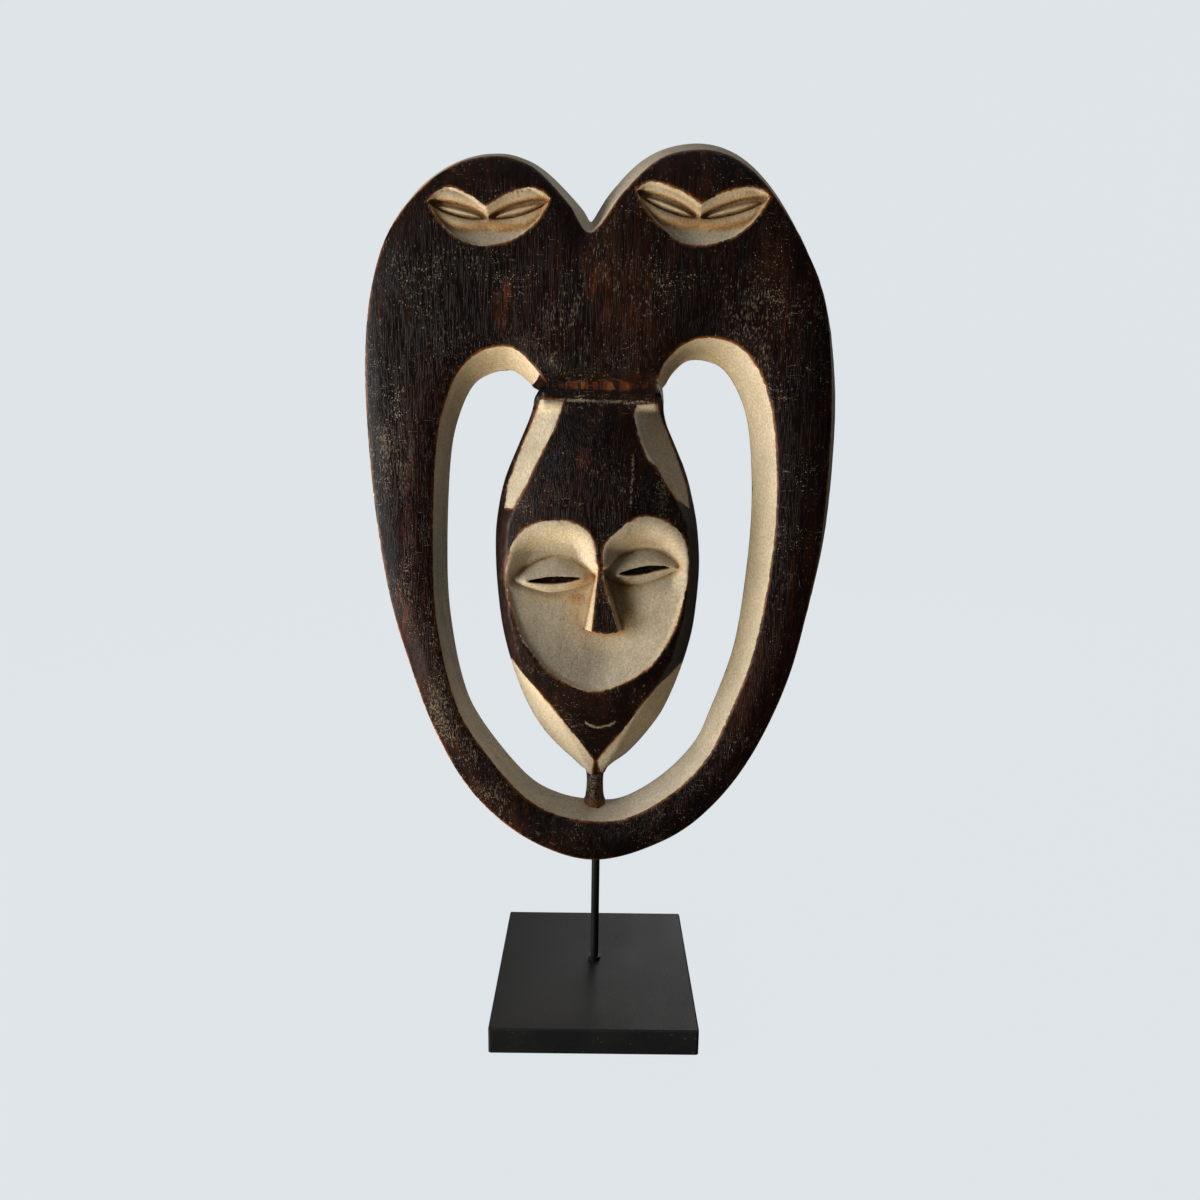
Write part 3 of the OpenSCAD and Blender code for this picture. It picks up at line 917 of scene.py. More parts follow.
@dataclass
class Carving:
    """The board with its horns, ring and hanging head, as one mesh."""

    back_y: float
    foot_z: float
    face_step: float = 1.15
    motif_step: float = 0.9
    broad: float = 3.2
    head_step: float = 1.9
    wall_rings: int = 13
    motifs: list = field(default_factory=list)

    def __post_init__(self) -> None:
        """Draws every line of the carving."""
        self.outer = smooth_line(OUTER_EDGE, 2.3)
        self.inner = smooth_line(INNER_EDGE, 2.3, closed=False)
        self.head = smooth_line(HEAD_EDGE, 2.2, closed=False)
        self.head_loop = smooth_line(HEAD_EDGE, 2.2)
        self.face = smooth_line(FACE_EDGE, 1.3)
        self.ridge = polygon_line(NOSE_RIDGE, 1.3)
        self.nose_foot = polygon_line(NOSE_FOOT, 1.3)
        self.lids = [smooth_line(LEFT_LID, 1.1), smooth_line(RIGHT_LID, 1.1)]
        self.slits = [smooth_line(LEFT_SLIT, 0.9), smooth_line(RIGHT_SLIT, 0.9)]
        self.bands = [polygon_line(b, 1.6) for b in (LEFT_TEMPLE, RIGHT_TEMPLE, LEFT_JAW, RIGHT_JAW)]
        self.opening = np.vstack([self.inner[:, :2], self.head[:, :2]])
        self.motifs = [HornMotif(*drawing) for drawing in MOTIFS]

    # -------- surface height

    def head_depth(self, points: np.ndarray) -> np.ndarray:
        """Depth of the head's uncut front.

        Args:
            points: Places on the head.

        Returns:
            Depth towards the viewer.
        """
        h = points[:, 1]
        rows = np.array(HEAD_ROWS)
        smooth_h = np.clip(h, 58, 350)
        crown = np.interp(smooth_h, rows[:, 0], rows[:, 1])
        for shift in (-9, -6, -3, 3, 6, 9):
            crown = crown + np.interp(smooth_h + shift, rows[:, 0], rows[:, 1])
        crown /= 7
        left = np.interp(h, rows[:, 0], rows[:, 2])
        right = np.interp(h, rows[:, 0], rows[:, 3])
        middle, half = (left + right) / 2, (right - left) / 2
        u = (points[:, 0] - middle) / half
        fall = half * 0.115
        rim_gap = distance(points, self.head_loop)
        side = np.sign(u)
        band_edge = np.where(side > 0, right, left)
        run = np.abs(points[:, 0] - band_edge)
        share = np.clip(run / np.maximum(run + rim_gap, 1e-6), 0, 1)
        corner = crown - fall
        edge = np.interp(h, [58, 70, 150, 300, 330, 350], [-25, -25, -22, -20, -13, -11])
        facet = corner + (edge - corner) * (share * 0.86 + 0.14 * share**3)
        return np.where(np.abs(u) <= 1, crown - fall * np.abs(u) ** 2.2, facet)

    def face_cut(self, points: np.ndarray, top: np.ndarray, grime: np.ndarray) -> tuple:
        """Hollows the face and raises its nose and lids.

        Args:
            points: Places on the head.
            top: Depth of the uncut head there.
            grime: Patina and painted light so far.

        Returns:
            The new depth, the paint distance and the new patina, with painted shadow beside the nose.
        """
        x, h = points[:, 0], points[:, 1]
        rim = signed(points, self.face)
        spine = distance(points, np.array([(-1.0, 232.0), (0.0, 200.0), (2.0, 160.0)]), closed=False)
        share = np.clip(rim / np.maximum(rim + spine, 1e-6), 0, 1)
        level = np.interp(h, [128, 140, 160, 180, 205], [4.6, 3.4, 1.8, 1.2, 1.0])
        bowl = 1.35 * share - 0.35 * share**3.86
        hollow = level - 1.3 * ease(rim, -0.1, 2.6) - (level + 5.6) * bowl
        brow = np.interp(h, [200, 214, 226, 240, 252], [-5.6, -6.8, -6.0, 0.6, 6.5])
        brow_wall = np.interp(h, [200, 214, 236], [10.0, 11.0, 18.0])
        scoop = top + (np.minimum(brow, top - 1.3) - top) * ease(rim, -0.15, brow_wall)
        blend = ease(h, 194, 214)
        floor = np.minimum(hollow, top - 1.0 * ease(rim, -0.1, 1.6)) * (1 - blend) + scoop * blend
        new = np.where(rim > 0, floor, top)
        grime = np.maximum(grime, 0.42 * np.exp(-np.abs(rim - 1.2) / 1.5) * (rim > 0) * ease(h, 235, 190))
        slit_gap = np.full(len(points), FAR_OUT)
        for lid, slit in zip(self.lids, self.slits):
            share = between_loops(points, lid, slit)
            gap = signed(points, lid)
            inner = signed(points, slit)
            (x0, h0), (x1, h1) = lid[lid[:, 0].argmin()], lid[lid[:, 0].argmax()]
            upper = h > np.interp(x, [x0, x1], [h0, h1]) - 2.2
            swell = np.where(upper, 6.6, 5.4) * np.sin(np.clip(share, 0, 1) * math.pi * 0.5)
            new = np.where(gap > 0, new - 1.3 + swell, new - 1.3 * ease(gap, -3.2, 0.0))
            new = np.where(inner > 0, new - 5.5 * ease(inner, -0.05, 0.75), new)
            seam = np.exp(-np.abs(gap + 0.5) / np.where(gap > -0.5, 0.6, 2.2))
            grime = np.maximum(grime, seam * np.where(upper, 1.0, 0.75))
            grime = np.maximum(grime, np.exp(-np.abs(inner) / 0.7) * 0.45)
            slit_gap = np.maximum(slit_gap, inner)
        foot = signed(points, self.nose_foot)
        ridge_height = np.interp(h, [168, 172, 200, 212, 226], [7.6, 7.9, 5.6, 4.4, 6.4])
        on_nose = foot > 0
        share = between_loops(points, self.nose_foot, self.ridge)
        raised = new + (ridge_height - new) * np.clip(share, 0, 1) ** 0.9
        new = np.where(on_nose & (h < 226), np.maximum(raised, new), new)
        # patina beside the nose; its wider, stronger part on the nose's right side is painted shadow
        reach, most = np.where(x > 3, 5.0, 3.6), np.where(x > 3, 1.0, 0.75)
        beside = np.exp(-np.abs(foot) / reach) * ease(h, 222, 200) * most
        grime = np.maximum(grime, beside * (foot < 0.6))
        grime = np.maximum(grime, sum(blots(points, FACE_STAINS_AND_SHADOW)) * (rim > 0))
        ridge = signed(points, self.ridge)
        paint = np.where(h < 224, np.minimum(rim, -ridge), rim)
        # painted shadow: the insides of the slits are left as dark bare wood
        paint = np.minimum(paint, 0.7 - slit_gap * 2.5)
        return new, paint, grime

    def ring_depth(self, points: np.ndarray) -> np.ndarray:
        """Depth of the board's front, gently crowned towards its edges.

        Args:
            points: Places on the board.

        Returns:
            Depth towards the viewer.
        """
        gap = np.minimum(distance(points, self.outer), distance(points, self.inner, closed=False))
        crown = -2.3 * (1 - ease(gap, 0.0, 17.0)) ** 1.5
        arris = -1.1 * np.clip(1 - gap / 1.7, 0, 1) ** 2
        out_gap = distance(points, self.outer)
        share = 1 - out_gap / np.maximum(out_gap + distance(points, self.inner, closed=False), 1e-6)
        lean = ease(points[:, 1], 230, 130) * ease(-points[:, 0], 30, 85) * ease(points[:, 1], 0, 60)
        return crown + arris - 6.0 * lean * share**1.2

    def neck_depth(self, points: np.ndarray) -> np.ndarray:
        """Depth of the groove and bead between board and head.

        Args:
            points: Places near the neck.

        Returns:
            Depth towards the viewer.
        """
        h = points[:, 1] + 0.012 * points[:, 0] + 0.5 * ripple(points, 14, 40, 3.3)
        marks = [318, 324.6, 326.0, 327.2, 329.2, 331.2, 332.4, 338.4, 339.6, 343.0, 346]
        depths = [-1.2, -2.9, -4.0, -2.4, -1.2, -2.2, -4.3, -4.5, -2.9, -0.9, 0.0]
        return np.interp(h, marks, depths)

    def surface(self, points: np.ndarray) -> tuple:
        """Depth, paint distance, and patina with painted light, of the carving's front.

        Args:
            points: Places.

        Returns:
            Depth towards the viewer, millimetres into the paint, and patina with painted light.
        """
        n = len(points)
        depth, grime, paint = np.zeros(n), np.zeros(n), np.full(n, FAR_OUT)
        on_head = (points[:, 1] < HEAD_TOP) & (signed(points, self.head_loop) > -1.0)
        ring = ~on_head
        ring_depth = self.ring_depth(points[ring]) + 0.38 * ripple(points[ring], 34, 60, 1.1)
        depth[ring] = ring_depth + 0.10 * ripple(points[ring], 9, 30, 2.2)
        head = self.head_depth(points[on_head])
        cut, face_paint, face_grime = self.face_cut(points[on_head], head, grime[on_head])
        depth[on_head] = cut + 0.16 * ripple(points[on_head], 12, 20, 4.4)
        paint[on_head] = np.maximum(face_paint, paint[on_head])
        grime[on_head] = face_grime
        neck = (points[:, 1] > NECK_LOW) & (points[:, 1] < NECK_HIGH) & (np.abs(points[:, 0] + 1) < 48)
        rise = ease(points[neck, 1], NECK_LOW, NECK_LOW + 6)
        blend = np.clip(rise * ease(-points[neck, 1], -NECK_HIGH, 4 - NECK_HIGH), 0, 1)
        side = ease(-np.abs(points[neck, 0] + 1.5), -41, -36.5)
        weight = blend * (0.35 + 0.65 * side)
        depth[neck] = depth[neck] * (1 - weight) + self.neck_depth(points[neck]) * weight
        for motif in self.motifs:
            depth, motif_paint, grime = motif.carve(points, depth, grime)
            paint = np.maximum(paint, motif_paint)
        for band in self.bands:
            paint[on_head] = np.maximum(paint[on_head], signed(points[on_head], band))
        waver = 0.6 * ripple(points, 7, 60, 9.4) + 0.012 * points[:, 0]
        under = 325.9 - points[:, 1] - waver
        shelf = np.where(under > 0, np.exp(-under / 2.2) * 0.62, 0.0)
        dusted = shelf + 0.75 * np.exp(-((under / 0.85) ** 2))
        near_neck = (np.abs(points[:, 0] + 1) < 37) & (np.abs(under) < 9)
        grime = np.where(near_neck & (paint < 0), np.maximum(grime, dusted), grime)
        # pale dust and scratches on the dark wood, with the painted sheen on the lower left limb
        grime = np.where(paint < 0, np.maximum(grime, dust_and_sheen_share(points)), grime)
        smile = distance(points, smooth_line(SMILE, 1.0, closed=False), closed=False)
        depth -= 1.1 * np.exp(-((smile / 1.0) ** 2))
        grime = np.maximum(grime, 1.05 * np.exp(-((smile / 1.1) ** 2)))
        walls = np.minimum(distance(points, self.outer), distance(points, self.inner, closed=False))
        paint = np.where(ring, np.maximum(paint, -walls), paint)
        return depth, paint, grime

    # -------- mesh

    def grid(self, step: float, box: tuple) -> np.ndarray:
        """Staggered points that fill a rectangle.

        Args:
            step: Distance between neighbours.
            box: Lowest and highest x, then lowest and highest h.

        Returns:
            The points.
        """
        x0, x1, h0, h1 = box
        rows = []
        for i, h in enumerate(np.arange(h0, h1, step * 0.866)):
            xs = np.arange(x0 + (i % 2) * step / 2, x1, step)
            rows.append(np.column_stack([xs, np.full(len(xs), h)]))
        return np.vstack(rows)

    def front_points(self) -> tuple:
        """Collects the front's lines and filling points.

        Returns:
            All points, and the closed lines as lists of point numbers.
        """
        loops = [self.outer[:, :2], self.opening, self.face, self.ridge, *self.lids, *self.slits]
        for motif in self.motifs:
            loops += motif.lines()
        inset_outer = self.outer[:, :2] - normals_of(self.outer, 3) * 0.9
        inset_inner = self.inner[:, :2] + normals_of(self.inner, 3) * 0.9
        bands = np.vstack(self.bands)
        loose = [inset_outer, inset_inner[4:-4], self.nose_foot, bands[signed(bands, self.head_loop) > 0.8]]
        broad = self.grid(self.broad, (-158, 156, -2, 480))
        broad = broad[signed(broad, self.head_loop) < -0.5]
        head = self.grid(self.head_step, (-76, 74, 58, 332))
        head = head[(signed(head, self.head_loop) > 0.8) & (signed(head, self.face) < -0.7)]
        face = self.grid(self.face_step, (-66, 62, 128, 253))
        face = face[signed(face, self.face) > 0.5]
        neck = self.grid(1.3, (-44, 42, NECK_LOW, NECK_HIGH + 1))
        in_neck = (broad[:, 1] > NECK_LOW) & (broad[:, 1] < NECK_HIGH + 1) & (np.abs(broad[:, 0] + 1) < 42)
        broad = broad[~in_neck]
        fills = [broad, head, face, neck]
        for motif in self.motifs:
            c = motif.centre
            patch = self.grid(self.motif_step, (c[0] - 42, c[0] + 46, c[1] - 20, c[1] + 23))
            fills.append(patch[signed(patch, motif.rim) > 0.35])
            fills[0] = fills[0][signed(fills[0], motif.rim) < -1.2]
        lines = np.vstack([*loops, *loose])
        filling = np.vstack(fills)
        filling = filling[spaced(filling, 0.55, lines)]
        filling = filling[spaced(filling, 0.6)]
        edges, start = [], 0
        for loop in loops:
            edges.append(list(range(start, start + len(loop))))
            start += len(loop)
        return np.vstack([lines, filling]), edges

    def front_faces(self) -> tuple:
        """Triangulates the front.

        Returns:
            Flat points and triangles.
        """
        points, loops = self.front_points()
        flat, tris, _ = triangulate(points, loops)
        centres = flat[tris].mean(1)
        keep = inside(centres, self.outer) & ~inside(centres, self.opening)
        return flat, tris[keep]

    def wall(self, mesh: "MeshStore", front: np.ndarray, offset: np.ndarray, cream: np.ndarray) -> None:
        """Runs a wall from a closed front line to the back.

        Args:
            mesh: Where the wall goes.
            front: The line at the front.
            offset: Sideways travel of each point from front to back.
            cream: Share of each point that carries paint.
        """
        depth, paint, _ = self.surface(front[:, :2])
        n = len(front)
        rows = []
        along = np.arange(n)
        for k in range(self.wall_rings + 1):
            t = (k / self.wall_rings) ** 1.15
            bulge = 4 * t * (1 - t)
            cuts = np.array([noise.noise(Vector((i * 0.10, k * 0.5, 8.8))) for i in along]) * 0.7 * bulge
            ridge = np.array([noise.noise(Vector((i * 0.35, k * 0.12, 2.8))) for i in along]) * 0.35 * bulge
            unit = offset / np.maximum(np.hypot(*offset.T), 1e-6)[:, None]
            place = front[:, :2] + offset * t + unit * (cuts + ridge - 0.5 * bulge * 0.4)[:, None]
            back_ease = max(0.0, (t - 0.955) / 0.045)
            place = place - unit * (back_ease**2 * 0.9)
            level = depth + (-BOARD_T - depth) * t
            gap = np.hypot(*(place - front[:, :2]).T) + np.abs(level - depth)
            shade = 0.10 + 0.30 * ease(np.full(n, t), 0.86, 1.0)
            cover = np.minimum(gap, level + BOARD_T - 0.9)
            bare = np.minimum(paint, -1.5) - gap * 0.2
            rows.append(mesh.points(place, level, np.where(cream > 0.5, cover, bare), shade, cream * 0.2))
        for a, b in zip(rows, rows[1:]):
            mesh.strip(a, b)
        mesh.back.append((rows[-1], place))

    def build(self) -> bpy.types.Object:
        """Makes the mesh.

        Returns:
            The mesh object, in the frame's metres.
        """
        flat, tris = self.front_faces()
        depth, paint, grime = self.surface(flat)
        mesh = MeshStore(self)
        start = mesh.points(flat, depth, paint, grime, rub_share(flat))
        mesh.faces += [(start[a], start[b], start[c]) for a, b, c in tris]
        outer = self.outer[:, :2]
        outer_push = normals_of(self.outer, 5) * (OUTER_BEVEL * self.outer[:, 2])[:, None]
        # the outer line starts at the notch between the horns
        self.wall(mesh, outer, mitre(outer, outer_push, 0), np.ones(len(outer)))
        inner_push = normals_of(self.inner, 4)
        inner_push[:5], inner_push[-5:] = inner_push[5], inner_push[-6]
        inner_push = -inner_push * (INNER_BEVEL * self.inner[:, 2])[:, None]
        flare = 0.8 + 4.6 * ease(self.head[:, 1], 318, 335)
        aside = np.where(self.head[:, 0] > -1, 0.95, -0.95)
        head_side = np.column_stack([aside, np.full(len(aside), -0.3)])
        level = ease(self.head[:, 1], 314, 330)[:, None]
        head_push = -normals_of(self.head_loop, 4)[: len(self.head)] * (1 - level) + head_side * level
        head_push *= flare[:, None]
        push = np.vstack([inner_push, head_push])
        cream = np.concatenate([np.ones(len(self.inner)), np.zeros(len(self.head))])
        cream[:3] = 0.0
        push = soften(push, 2, [0, len(self.inner)])
        self.wall(mesh, self.opening, push, cream)
        mesh.close_back()
        mesh.post()
        return mesh.finish("carved_mask")


def triangulate(points: np.ndarray, loops: list) -> tuple:
    """Fills a flat set of points with triangles that follow closed lines.

    Args:
        points: Places.
        loops: Closed lines, as lists of point numbers.

    Returns:
        Flat points, triangles, and the given points behind each flat point.
    """
    edges = [(a, b) for loop in loops for a, b in zip(loop, loop[1:] + loop[:1])]
    made = geometry.delaunay_2d_cdt([Vector(p) for p in points], edges, [], 0, 1e-5)
    flat = np.array([tuple(v) for v in made[0]])
    return flat, np.array([face for face in made[2] if len(face) == 3]), made[3]


def soften(rows: np.ndarray, reach: int, seams: list) -> np.ndarray:
    """Evens out rows around given places of a closed line.

    Args:
        rows: One row for each point of the line.
        reach: Steps each way.
        seams: Places to even out.

    Returns:
        The evened rows.
    """
    out = rows.copy()
    n = len(rows)
    for seam in seams:
        for k in range(-reach, reach + 1):
            pick = [(seam + k + j) % n for j in range(-reach, reach + 1)]
            out[(seam + k) % n] = rows[pick].mean(0)
    return out


def mitre(line: np.ndarray, push: np.ndarray, seam: int) -> np.ndarray:
    """Brings the two sides of a sharp inner corner together on its middle line.

    Args:
        line: Closed line.
        push: Sideways travel of each point.
        seam: The corner's point.

    Returns:
        The travel of each point, without crossings at the corner.
    """
    n, ends, axis, reach = len(line), line + push, line[seam, 0], {}
    for side, turn in ((-1, 1), (1, -1)):
        k = 1
        while side * (ends[(seam + turn * k) % n, 0] - axis) < 0.4 and k < n // 8:
            k += 1
        reach[turn] = k
    apex = np.array([axis, min(ends[(seam + turn * k) % n, 1] for turn, k in reach.items()) - 0.3])
    for turn, k in reach.items():
        far = ends[(seam + turn * k) % n].copy()
        for i in range(k):
            ends[(seam + turn * i) % n] = apex + (far - apex) * i / k
    return ends - line


def blots(points: np.ndarray, spots: list) -> np.ndarray:
    """Strength of soft oval patches.

    Args:
        points: Places.
        spots: Each patch's x, h, reach across, reach upwards and strength.

    Returns:
        One row for each patch.
    """
    x, h = points[:, 0], points[:, 1]
    return np.array([
        most * np.exp(-(((x - a) / wide) ** 2) - ((h - b) / tall) ** 2) for a, b, wide, tall, most in spots
    ])


def dust_and_sheen_share(points: np.ndarray) -> np.ndarray:
    """Where pale dust and scratches sit on the dark wood, with a painted sheen on the lower left limb.

    Args:
        points: Places on the front.

    Returns:
        Shares from 0 to 1.
    """
    scar = np.abs(points[:, 0] - 20.5 - 0.04 * (points[:, 1] - 275)) / 0.9
    scratch = 0.8 * np.exp(-(scar**2)) * ease(-np.abs(points[:, 1] - 274), -24, -14)
    return np.maximum(blots(points, DUST_AND_SHEEN_SPOTS).max(0), scratch)


def spaced(points: np.ndarray, gap: float, lines: np.ndarray | None = None) -> np.ndarray:
    """Tells which points to keep so that none is nearer than a gap.

    Args:
        points: Places.
        gap: Least distance.
        lines: Places to keep away from; without them, the points keep away from each other.

    Returns:
        True for each point to keep.
    """
    cells = {}
    for x, h in () if lines is None else lines[:, :2]:
        cells.setdefault((int(x // gap), int(h // gap)), []).append((x, h))
    keep = np.zeros(len(points), bool)
    for i, (x, h) in enumerate(points[:, :2]):
        cx, ch = int(x // gap), int(h // gap)
        near = (q for a in (-1, 0, 1) for b in (-1, 0, 1) for q in cells.get((cx + a, ch + b), ()))
        keep[i] = all((x - u) ** 2 + (h - v) ** 2 > gap * gap for u, v in near)
        if keep[i] and lines is None:
            cells.setdefault((cx, ch), []).append((x, h))
    return keep


def rub_share(points: np.ndarray) -> np.ndarray:
    """Where handling has rubbed the stain to red-brown.

    Args:
        points: Places on the front.

    Returns:
        Shares from 0 to 1.
    """
    return np.clip(sum(blots(points, RUB_SPOTS)), 0, 2.0)


class MeshStore:
    """Collects the carving's points, faces and surface readings."""

    def __init__(self, carving: Carving) -> None:
        """Starts empty.

        Args:
            carving: The carving that gives the place of the board.
        """
        self.carving = carving
        self.co, self.paint, self.grime, self.rub = [], [], [], []
        self.faces: list = []
        self.back: list = []

    def points(
        self, place: np.ndarray, depth: np.ndarray, paint: np.ndarray, grime: np.ndarray, rub: np.ndarray
    ) -> list:
        """Adds points.

        Args:
            place: x and h.
            depth: Depth towards the viewer.
            paint: Millimetres into the paint.
            grime: Patina and dust, with painted shade and sheen.
            rub: Wear of the stain.

        Returns:
            The numbers of the new points.
        """
        first = len(self.co)
        front_y = self.carving.back_y / MM - BOARD_T
        foot = self.carving.foot_z / MM + FOOT_RISE
        for (x, h), d in zip(place[:, :2], depth):
            self.co.append((x * MM, (front_y - d) * MM, (h + foot) * MM))
        self.paint += list(paint)
        self.grime += list(grime)
        self.rub += list(rub)
        return list(range(first, len(self.co)))

    def strip(self, a: list, b: list) -> None:
        """Joins two closed lines of points with faces."""
        n = len(a)
        self.faces += [(a[i], b[i], b[(i + 1) % n], a[(i + 1) % n]) for i in range(n)]

    def close_back(self) -> None:
        """Fills the flat back between the ends of the walls."""
        (outer_ids, outer), (inner_ids, inner) = self.back
        fill = self.carving.grid(4.2, (-165, 167, -6, 494))
        fill = fill[(signed(fill, outer) > 3) & (signed(fill, inner) < -3)]
        points = np.vstack([outer, inner, fill])
        loops = [list(range(len(outer))), list(range(len(outer), len(outer) + len(inner)))]
        flat, tris, origins = triangulate(points, loops)
        known = outer_ids + inner_ids
        saw = 0.42 * np.abs(ripple(flat, 15, 42, 6.1)) + 0.10 * ripple(flat, 60, 9, 5.2)
        n = len(flat)
        wear = np.minimum(rub_share(flat), 0.9) * 0.6
        loose = self.points(flat, saw - BOARD_T, np.full(n, BARE), np.full(n, 0.12), wear)
        names = [known[o[0]] if o and o[0] < len(known) else loose[i] for i, o in enumerate(origins)]
        centres = flat[tris].mean(1)
        kept = tris[inside(centres, outer) & ~inside(centres, inner)]
        self.faces += [(names[c], names[b], names[a]) for a, b, c in kept]

    def post(self) -> None:
        """Adds the faceted post under the chin, its ends buried in the wood."""
        section = np.array([(-7.2, -6.0), (-6.8, 0.5), (-3.4, 5.2), (2.0, 5.8), (6.2, 1.0), (6.4, -6.0)])
        levels = [
            (26, 1.35), (33.5, 1.22), (36.5, 1.04), (42, 0.94), (50, 0.90), (57, 0.98), (63, 1.0), (72, 0.7),
        ]
        rings, n = [], len(section)
        for h, scale in levels:
            place = np.column_stack([section[:, 0] * scale - 1.0, np.full(n, float(h))])
            depth = np.maximum(section[:, 1] * scale - 27.4, -33.6)
            paint = np.full(n, -6.0 + (h < 37) * 5.6)
            rings.append(self.points(place, depth, paint, np.full(n, 0.5), np.full(n, 0.3)))
        for a, b in zip(rings, rings[1:]):
            self.faces += [(a[i], a[(i + 1) % n], b[(i + 1) % n], b[i]) for i in range(n)]
        self.faces += [tuple(reversed(rings[0])), tuple(rings[-1])]

    @staticmethod
    def _readings(data: bpy.types.Mesh, paint: list, grime: list, rub: list) -> None:
        """Writes the surface readings into a mesh, one value of each for each point."""
        for label, values in (("paint_mm", paint), ("grime", grime), ("rub", rub)):
            layer = data.attributes.new(label, "FLOAT", "POINT")
            layer.data.foreach_set("value", np.array(values, dtype=np.float32))

    def finish(self, name: str) -> bpy.types.Object:
        """Turns the collected points into an object.

        Args:
            name: The object's name.

        Returns:
            The object.
        """
        data = bpy.data.meshes.new(name)
        data.from_pydata(self.co, [], self.faces)
        self._readings(data, self.paint, self.grime, self.rub)
        shape = bmesh.new()
        shape.from_mesh(data)
        bmesh.ops.remove_doubles(shape, verts=shape.verts, dist=WELD_GAP)
        loose = [v for v in shape.verts if not v.link_faces]
        bmesh.ops.delete(shape, geom=loose, context="VERTS")
        bmesh.ops.recalc_face_normals(shape, faces=shape.faces)
        shape.to_mesh(data)
        open_edges = sum(1 for e in shape.edges if len(e.link_faces) != 2)
        shape.free()
        LOG.info("%s: %d faces, %d edges without two faces", name, len(data.polygons), open_edges)
        made = bpy.data.objects.new(name, data)
        bpy.context.scene.collection.objects.link(made)
        made.data = self._socket(made)
        made.data.shade_smooth()
        made.data.set_sharp_from_angle(angle=math.radians(SHARP_ANGLE))
        return made

    def _socket(self, made: bpy.types.Object) -> bpy.types.Mesh:
        """Drills the rod's socket up into the foot.

        Args:
            made: The carving.

        Returns:
            The drilled mesh.
        """
        shape = bmesh.new()
        deep, below = SOCKET_DEPTH * MM, 12 * MM
        radius = SOCKET_D / 2 * MM
        bmesh.ops.create_cone(
            shape, cap_ends=True, segments=32, radius1=radius, radius2=radius, depth=deep + below
        )
        middle = (0.0, ROD_Y * MM, self.carving.foot_z + (deep - below) / 2)
        bmesh.ops.translate(shape, verts=shape.verts, vec=middle)
        tool_data = bpy.data.meshes.new("socket_tool")
        shape.to_mesh(tool_data)
        shape.free()
        n = len(tool_data.vertices)
        self._readings(tool_data, [BARE] * n, [0.0] * n, [0.3] * n)
        tool = bpy.data.objects.new("socket_tool", tool_data)
        bpy.context.scene.collection.objects.link(tool)
        cut = made.modifiers.new("socket", "BOOLEAN")
        cut.operation, cut.solver, cut.object = "DIFFERENCE", "MANIFOLD", tool
        ready = made.evaluated_get(bpy.context.evaluated_depsgraph_get())
        data = bpy.data.meshes.new_from_object(ready)
        data.materials.clear()
        data.polygons.foreach_set("material_index", np.zeros(len(data.polygons), dtype=np.int32))
        made.modifiers.remove(cut)
        bpy.data.objects.remove(tool)
        bpy.data.meshes.remove(tool_data)
        LOG.info("socket drilled: %d faces before, %d after", len(made.data.polygons), len(data.polygons))
        return data


# ---------------------------------------------------------------- the stand and the stage


@dataclass
class Mask:
    """The carved mask."""

    node: str = "mask_board"

    def build(self) -> bpy.types.Object:
        """Shapes the mask where its solid stands.

        Returns:
            The finished piece.
        """
        low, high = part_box(self.node)
        carving = Carving(back_y=high[1], foot_z=low[2])
        piece = carving.build()
        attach(piece, Body.MASK.value)
        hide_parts(self.node)
        return piece

    def dress(self, piece: bpy.types.Object) -> None:
        """Puts the wood finish on the mask."""
        piece.data.materials.append(CarvedWood().material())


@dataclass
class Stand:
    """Block, rod, collar, fasteners and pads, with the frame's own shapes."""

    frame: dict

    def dress(self) -> None:
        """Finishes every node of the stand and eases its edges."""
        block = BlackPaint("block_paint").material()
        enamel = BlackPaint("rod_enamel", roughness=0.34, tooth=0.00002, dusty=0.15).material()
        zinc = ZincPlate().material()
        felt = FeltPile().material()
        plan = {"base_block": block, "stand_rod": enamel, "foot_collar": enamel}
        plan |= {"foot_washer": zinc, "foot_nut": zinc}
        for name, node in self.frame["nodes"].items():
            if name == "mask_board":
                continue
            finish = plan.get(name, felt)
            node.data.materials.clear()
            node.data.materials.append(finish)
            self._ease(node, name)
            LOG.info("%s dressed in %s", name, finish.name)

    def _ease(self, node: bpy.types.Object, name: str) -> None:
        """Rounds a node's edges a little.

        Args:
            node: The node's object.
            name: The node's name.
        """
        bevel = node.modifiers.new("eased_edges", "BEVEL")
        bevel.width = EDGE_WIDTHS.get(name, 0.3) * MM
        bevel.segments = 3
        bevel.limit_method = "ANGLE"
        bevel.angle_limit = math.radians(35)
        bevel.harden_normals = False


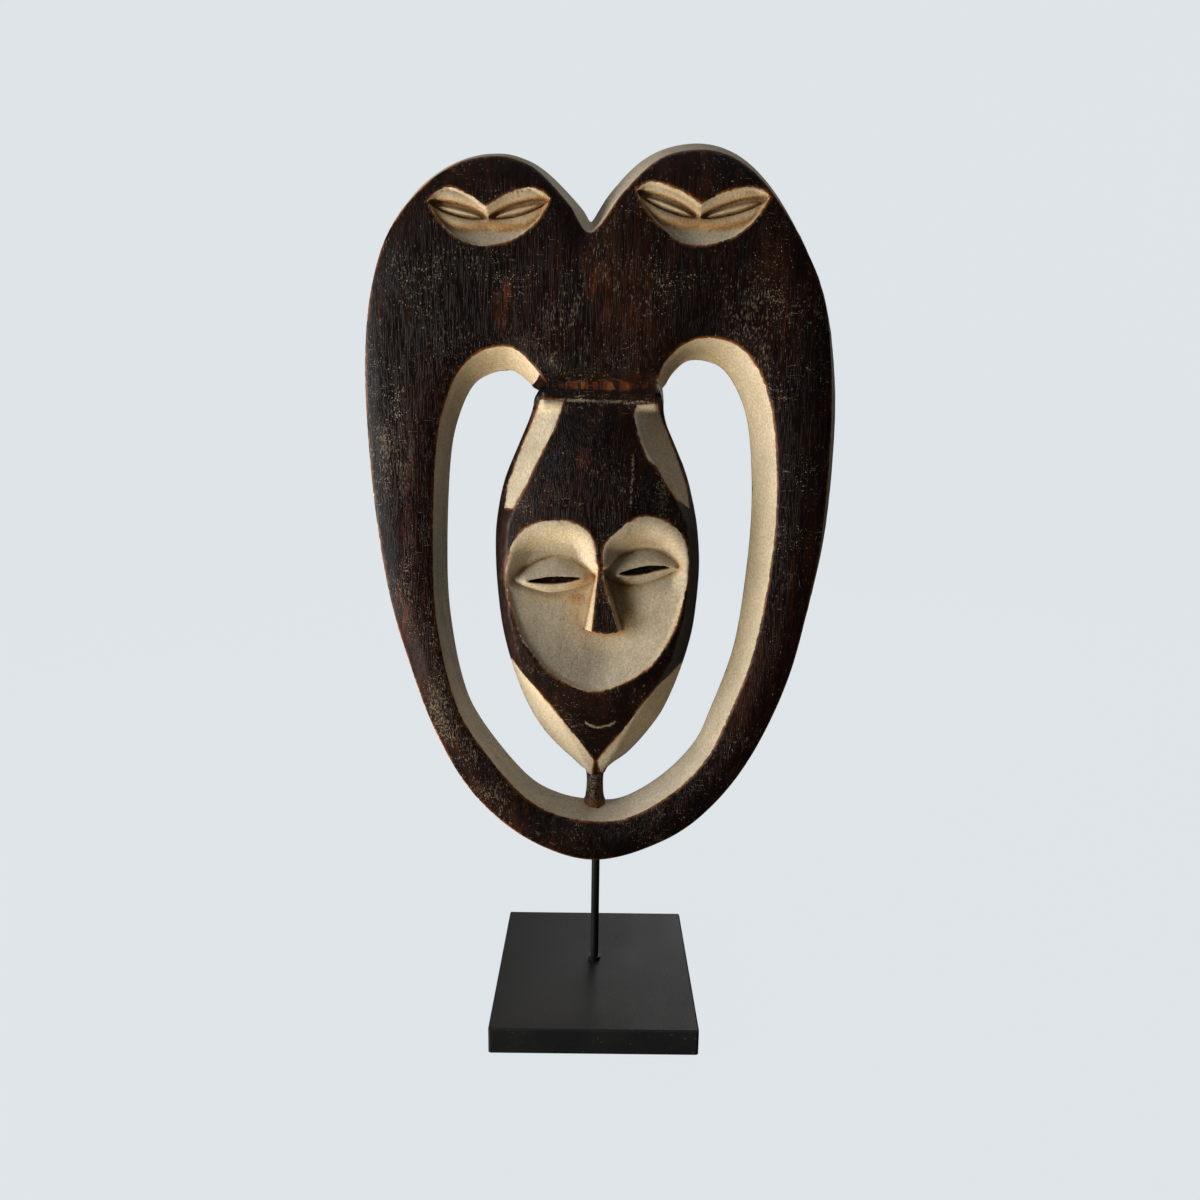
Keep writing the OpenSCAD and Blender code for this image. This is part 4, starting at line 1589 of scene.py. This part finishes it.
@dataclass
class Studio:
    """Camera, soft lights and the pale sweep."""

    eye: tuple = (-0.0014, -0.556, 0.4015)
    pitch_down: float = 10.37
    yaw: float = 0.20
    roll: float = 0.79
    lens: float = 24.42

    def camera(self) -> None:
        """Sets up the camera."""
        data = bpy.data.cameras.new("camera")
        data.lens = self.lens
        data.sensor_width = 36.0
        data.clip_start = 0.01
        data.clip_end = 60
        eye = bpy.data.objects.new("camera", data)
        bpy.context.scene.collection.objects.link(eye)
        eye.location = self.eye
        turn = Vector((0, 0, 1))
        look = Vector((math.sin(math.radians(self.yaw)), 1.0, -math.tan(math.radians(self.pitch_down))))
        aim = look.to_track_quat("-Z", "Y")
        eye.rotation_mode = "QUATERNION"
        eye.rotation_quaternion = aim @ Quaternion(turn, math.radians(self.roll))
        bpy.context.scene.camera = eye

    def sweep(self) -> None:
        """Lays the floor, which rises into a round backdrop."""
        turns = 96
        shape = bmesh.new()
        centre = shape.verts.new((0, 0, 0))
        rings = []
        for radius, height in SWEEP_PROFILE:
            ring = []
            for i in range(turns):
                a = 2 * math.pi * i / turns
                ring.append(shape.verts.new((radius * math.cos(a), radius * math.sin(a), height)))
            rings.append(ring)
        for i in range(turns):
            shape.faces.new((centre, rings[0][i], rings[0][(i + 1) % turns]))
        for a, b in zip(rings, rings[1:]):
            for i in range(turns):
                shape.faces.new((a[i], b[i], b[(i + 1) % turns], a[(i + 1) % turns]))
        data = bpy.data.meshes.new("sweep")
        shape.to_mesh(data)
        shape.free()
        data.shade_smooth()
        floor = bpy.data.objects.new("sweep", data)
        floor.visible_diffuse = False
        floor.visible_glossy = False
        floor.visible_shadow = False
        bpy.context.scene.collection.objects.link(floor)
        data.materials.append(PaleSweep().material())

    def lamp(
        self, name: str, place: tuple, aim: tuple, size: tuple, power: float, colour: tuple,
        mirrored: bool = True,
    ) -> None:
        """Hangs one soft box.

        Args:
            name: The lamp's name.
            place: Where it hangs.
            aim: What it points at.
            size: Width and height.
            power: Watts.
            colour: Light colour.
            mirrored: Whether glossy surfaces mirror it.
        """
        data = bpy.data.lights.new(name, "AREA")
        data.shape = "RECTANGLE"
        data.size, data.size_y = size
        data.energy = power
        data.color = colour
        lamp = bpy.data.objects.new(name, data)
        bpy.context.scene.collection.objects.link(lamp)
        lamp.location = place
        lamp.visible_camera = False
        lamp.visible_glossy = mirrored
        lamp.rotation_mode = "QUATERNION"
        lamp.rotation_quaternion = (Vector(aim) - Vector(place)).to_track_quat("-Z", "Y")

    def lights(self) -> None:
        """Hangs the lamps and sets the room's light."""
        middle = (0.0, 0.0, 0.34)
        self.lamp("window", (-1.30, -0.50, 0.30), middle, (1.0, 1.1), 29, (1.0, 0.985, 0.95))
        self.lamp("bounce", (-1.00, -0.10, -1.45), middle, (1.9, 1.7), 98, (1.0, 0.86, 0.62), False)
        self.lamp("sky", (0.1, -0.35, 1.95), middle, (1.5, 1.5), 5.0, (0.88, 0.94, 1.0))
        self.lamp("back", (0.5, 1.5, 1.2), middle, (1.2, 1.2), 9, (1.0, 1.0, 0.98))
        world = bpy.data.worlds.new("room")
        world.use_nodes = True
        sky = world.node_tree.nodes["Background"]
        sky.inputs[0].default_value = (0.90, 0.95, 1.0, 1.0)
        sky.inputs[1].default_value = 0.045
        bpy.context.scene.world = world
        view = bpy.context.scene.view_settings
        view.view_transform = "Standard"
        view.look = "None"


def main() -> None:
    """Builds and dresses the mask and its stand."""
    logging.basicConfig(level=logging.INFO, format="%(message)s")
    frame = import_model()
    studio = Studio()
    studio.camera()
    mask = Mask()
    piece = mask.build()
    mask.dress(piece)
    Stand(frame).dress()
    studio.sweep()
    studio.lights()


if __name__ == "__main__":
    main()
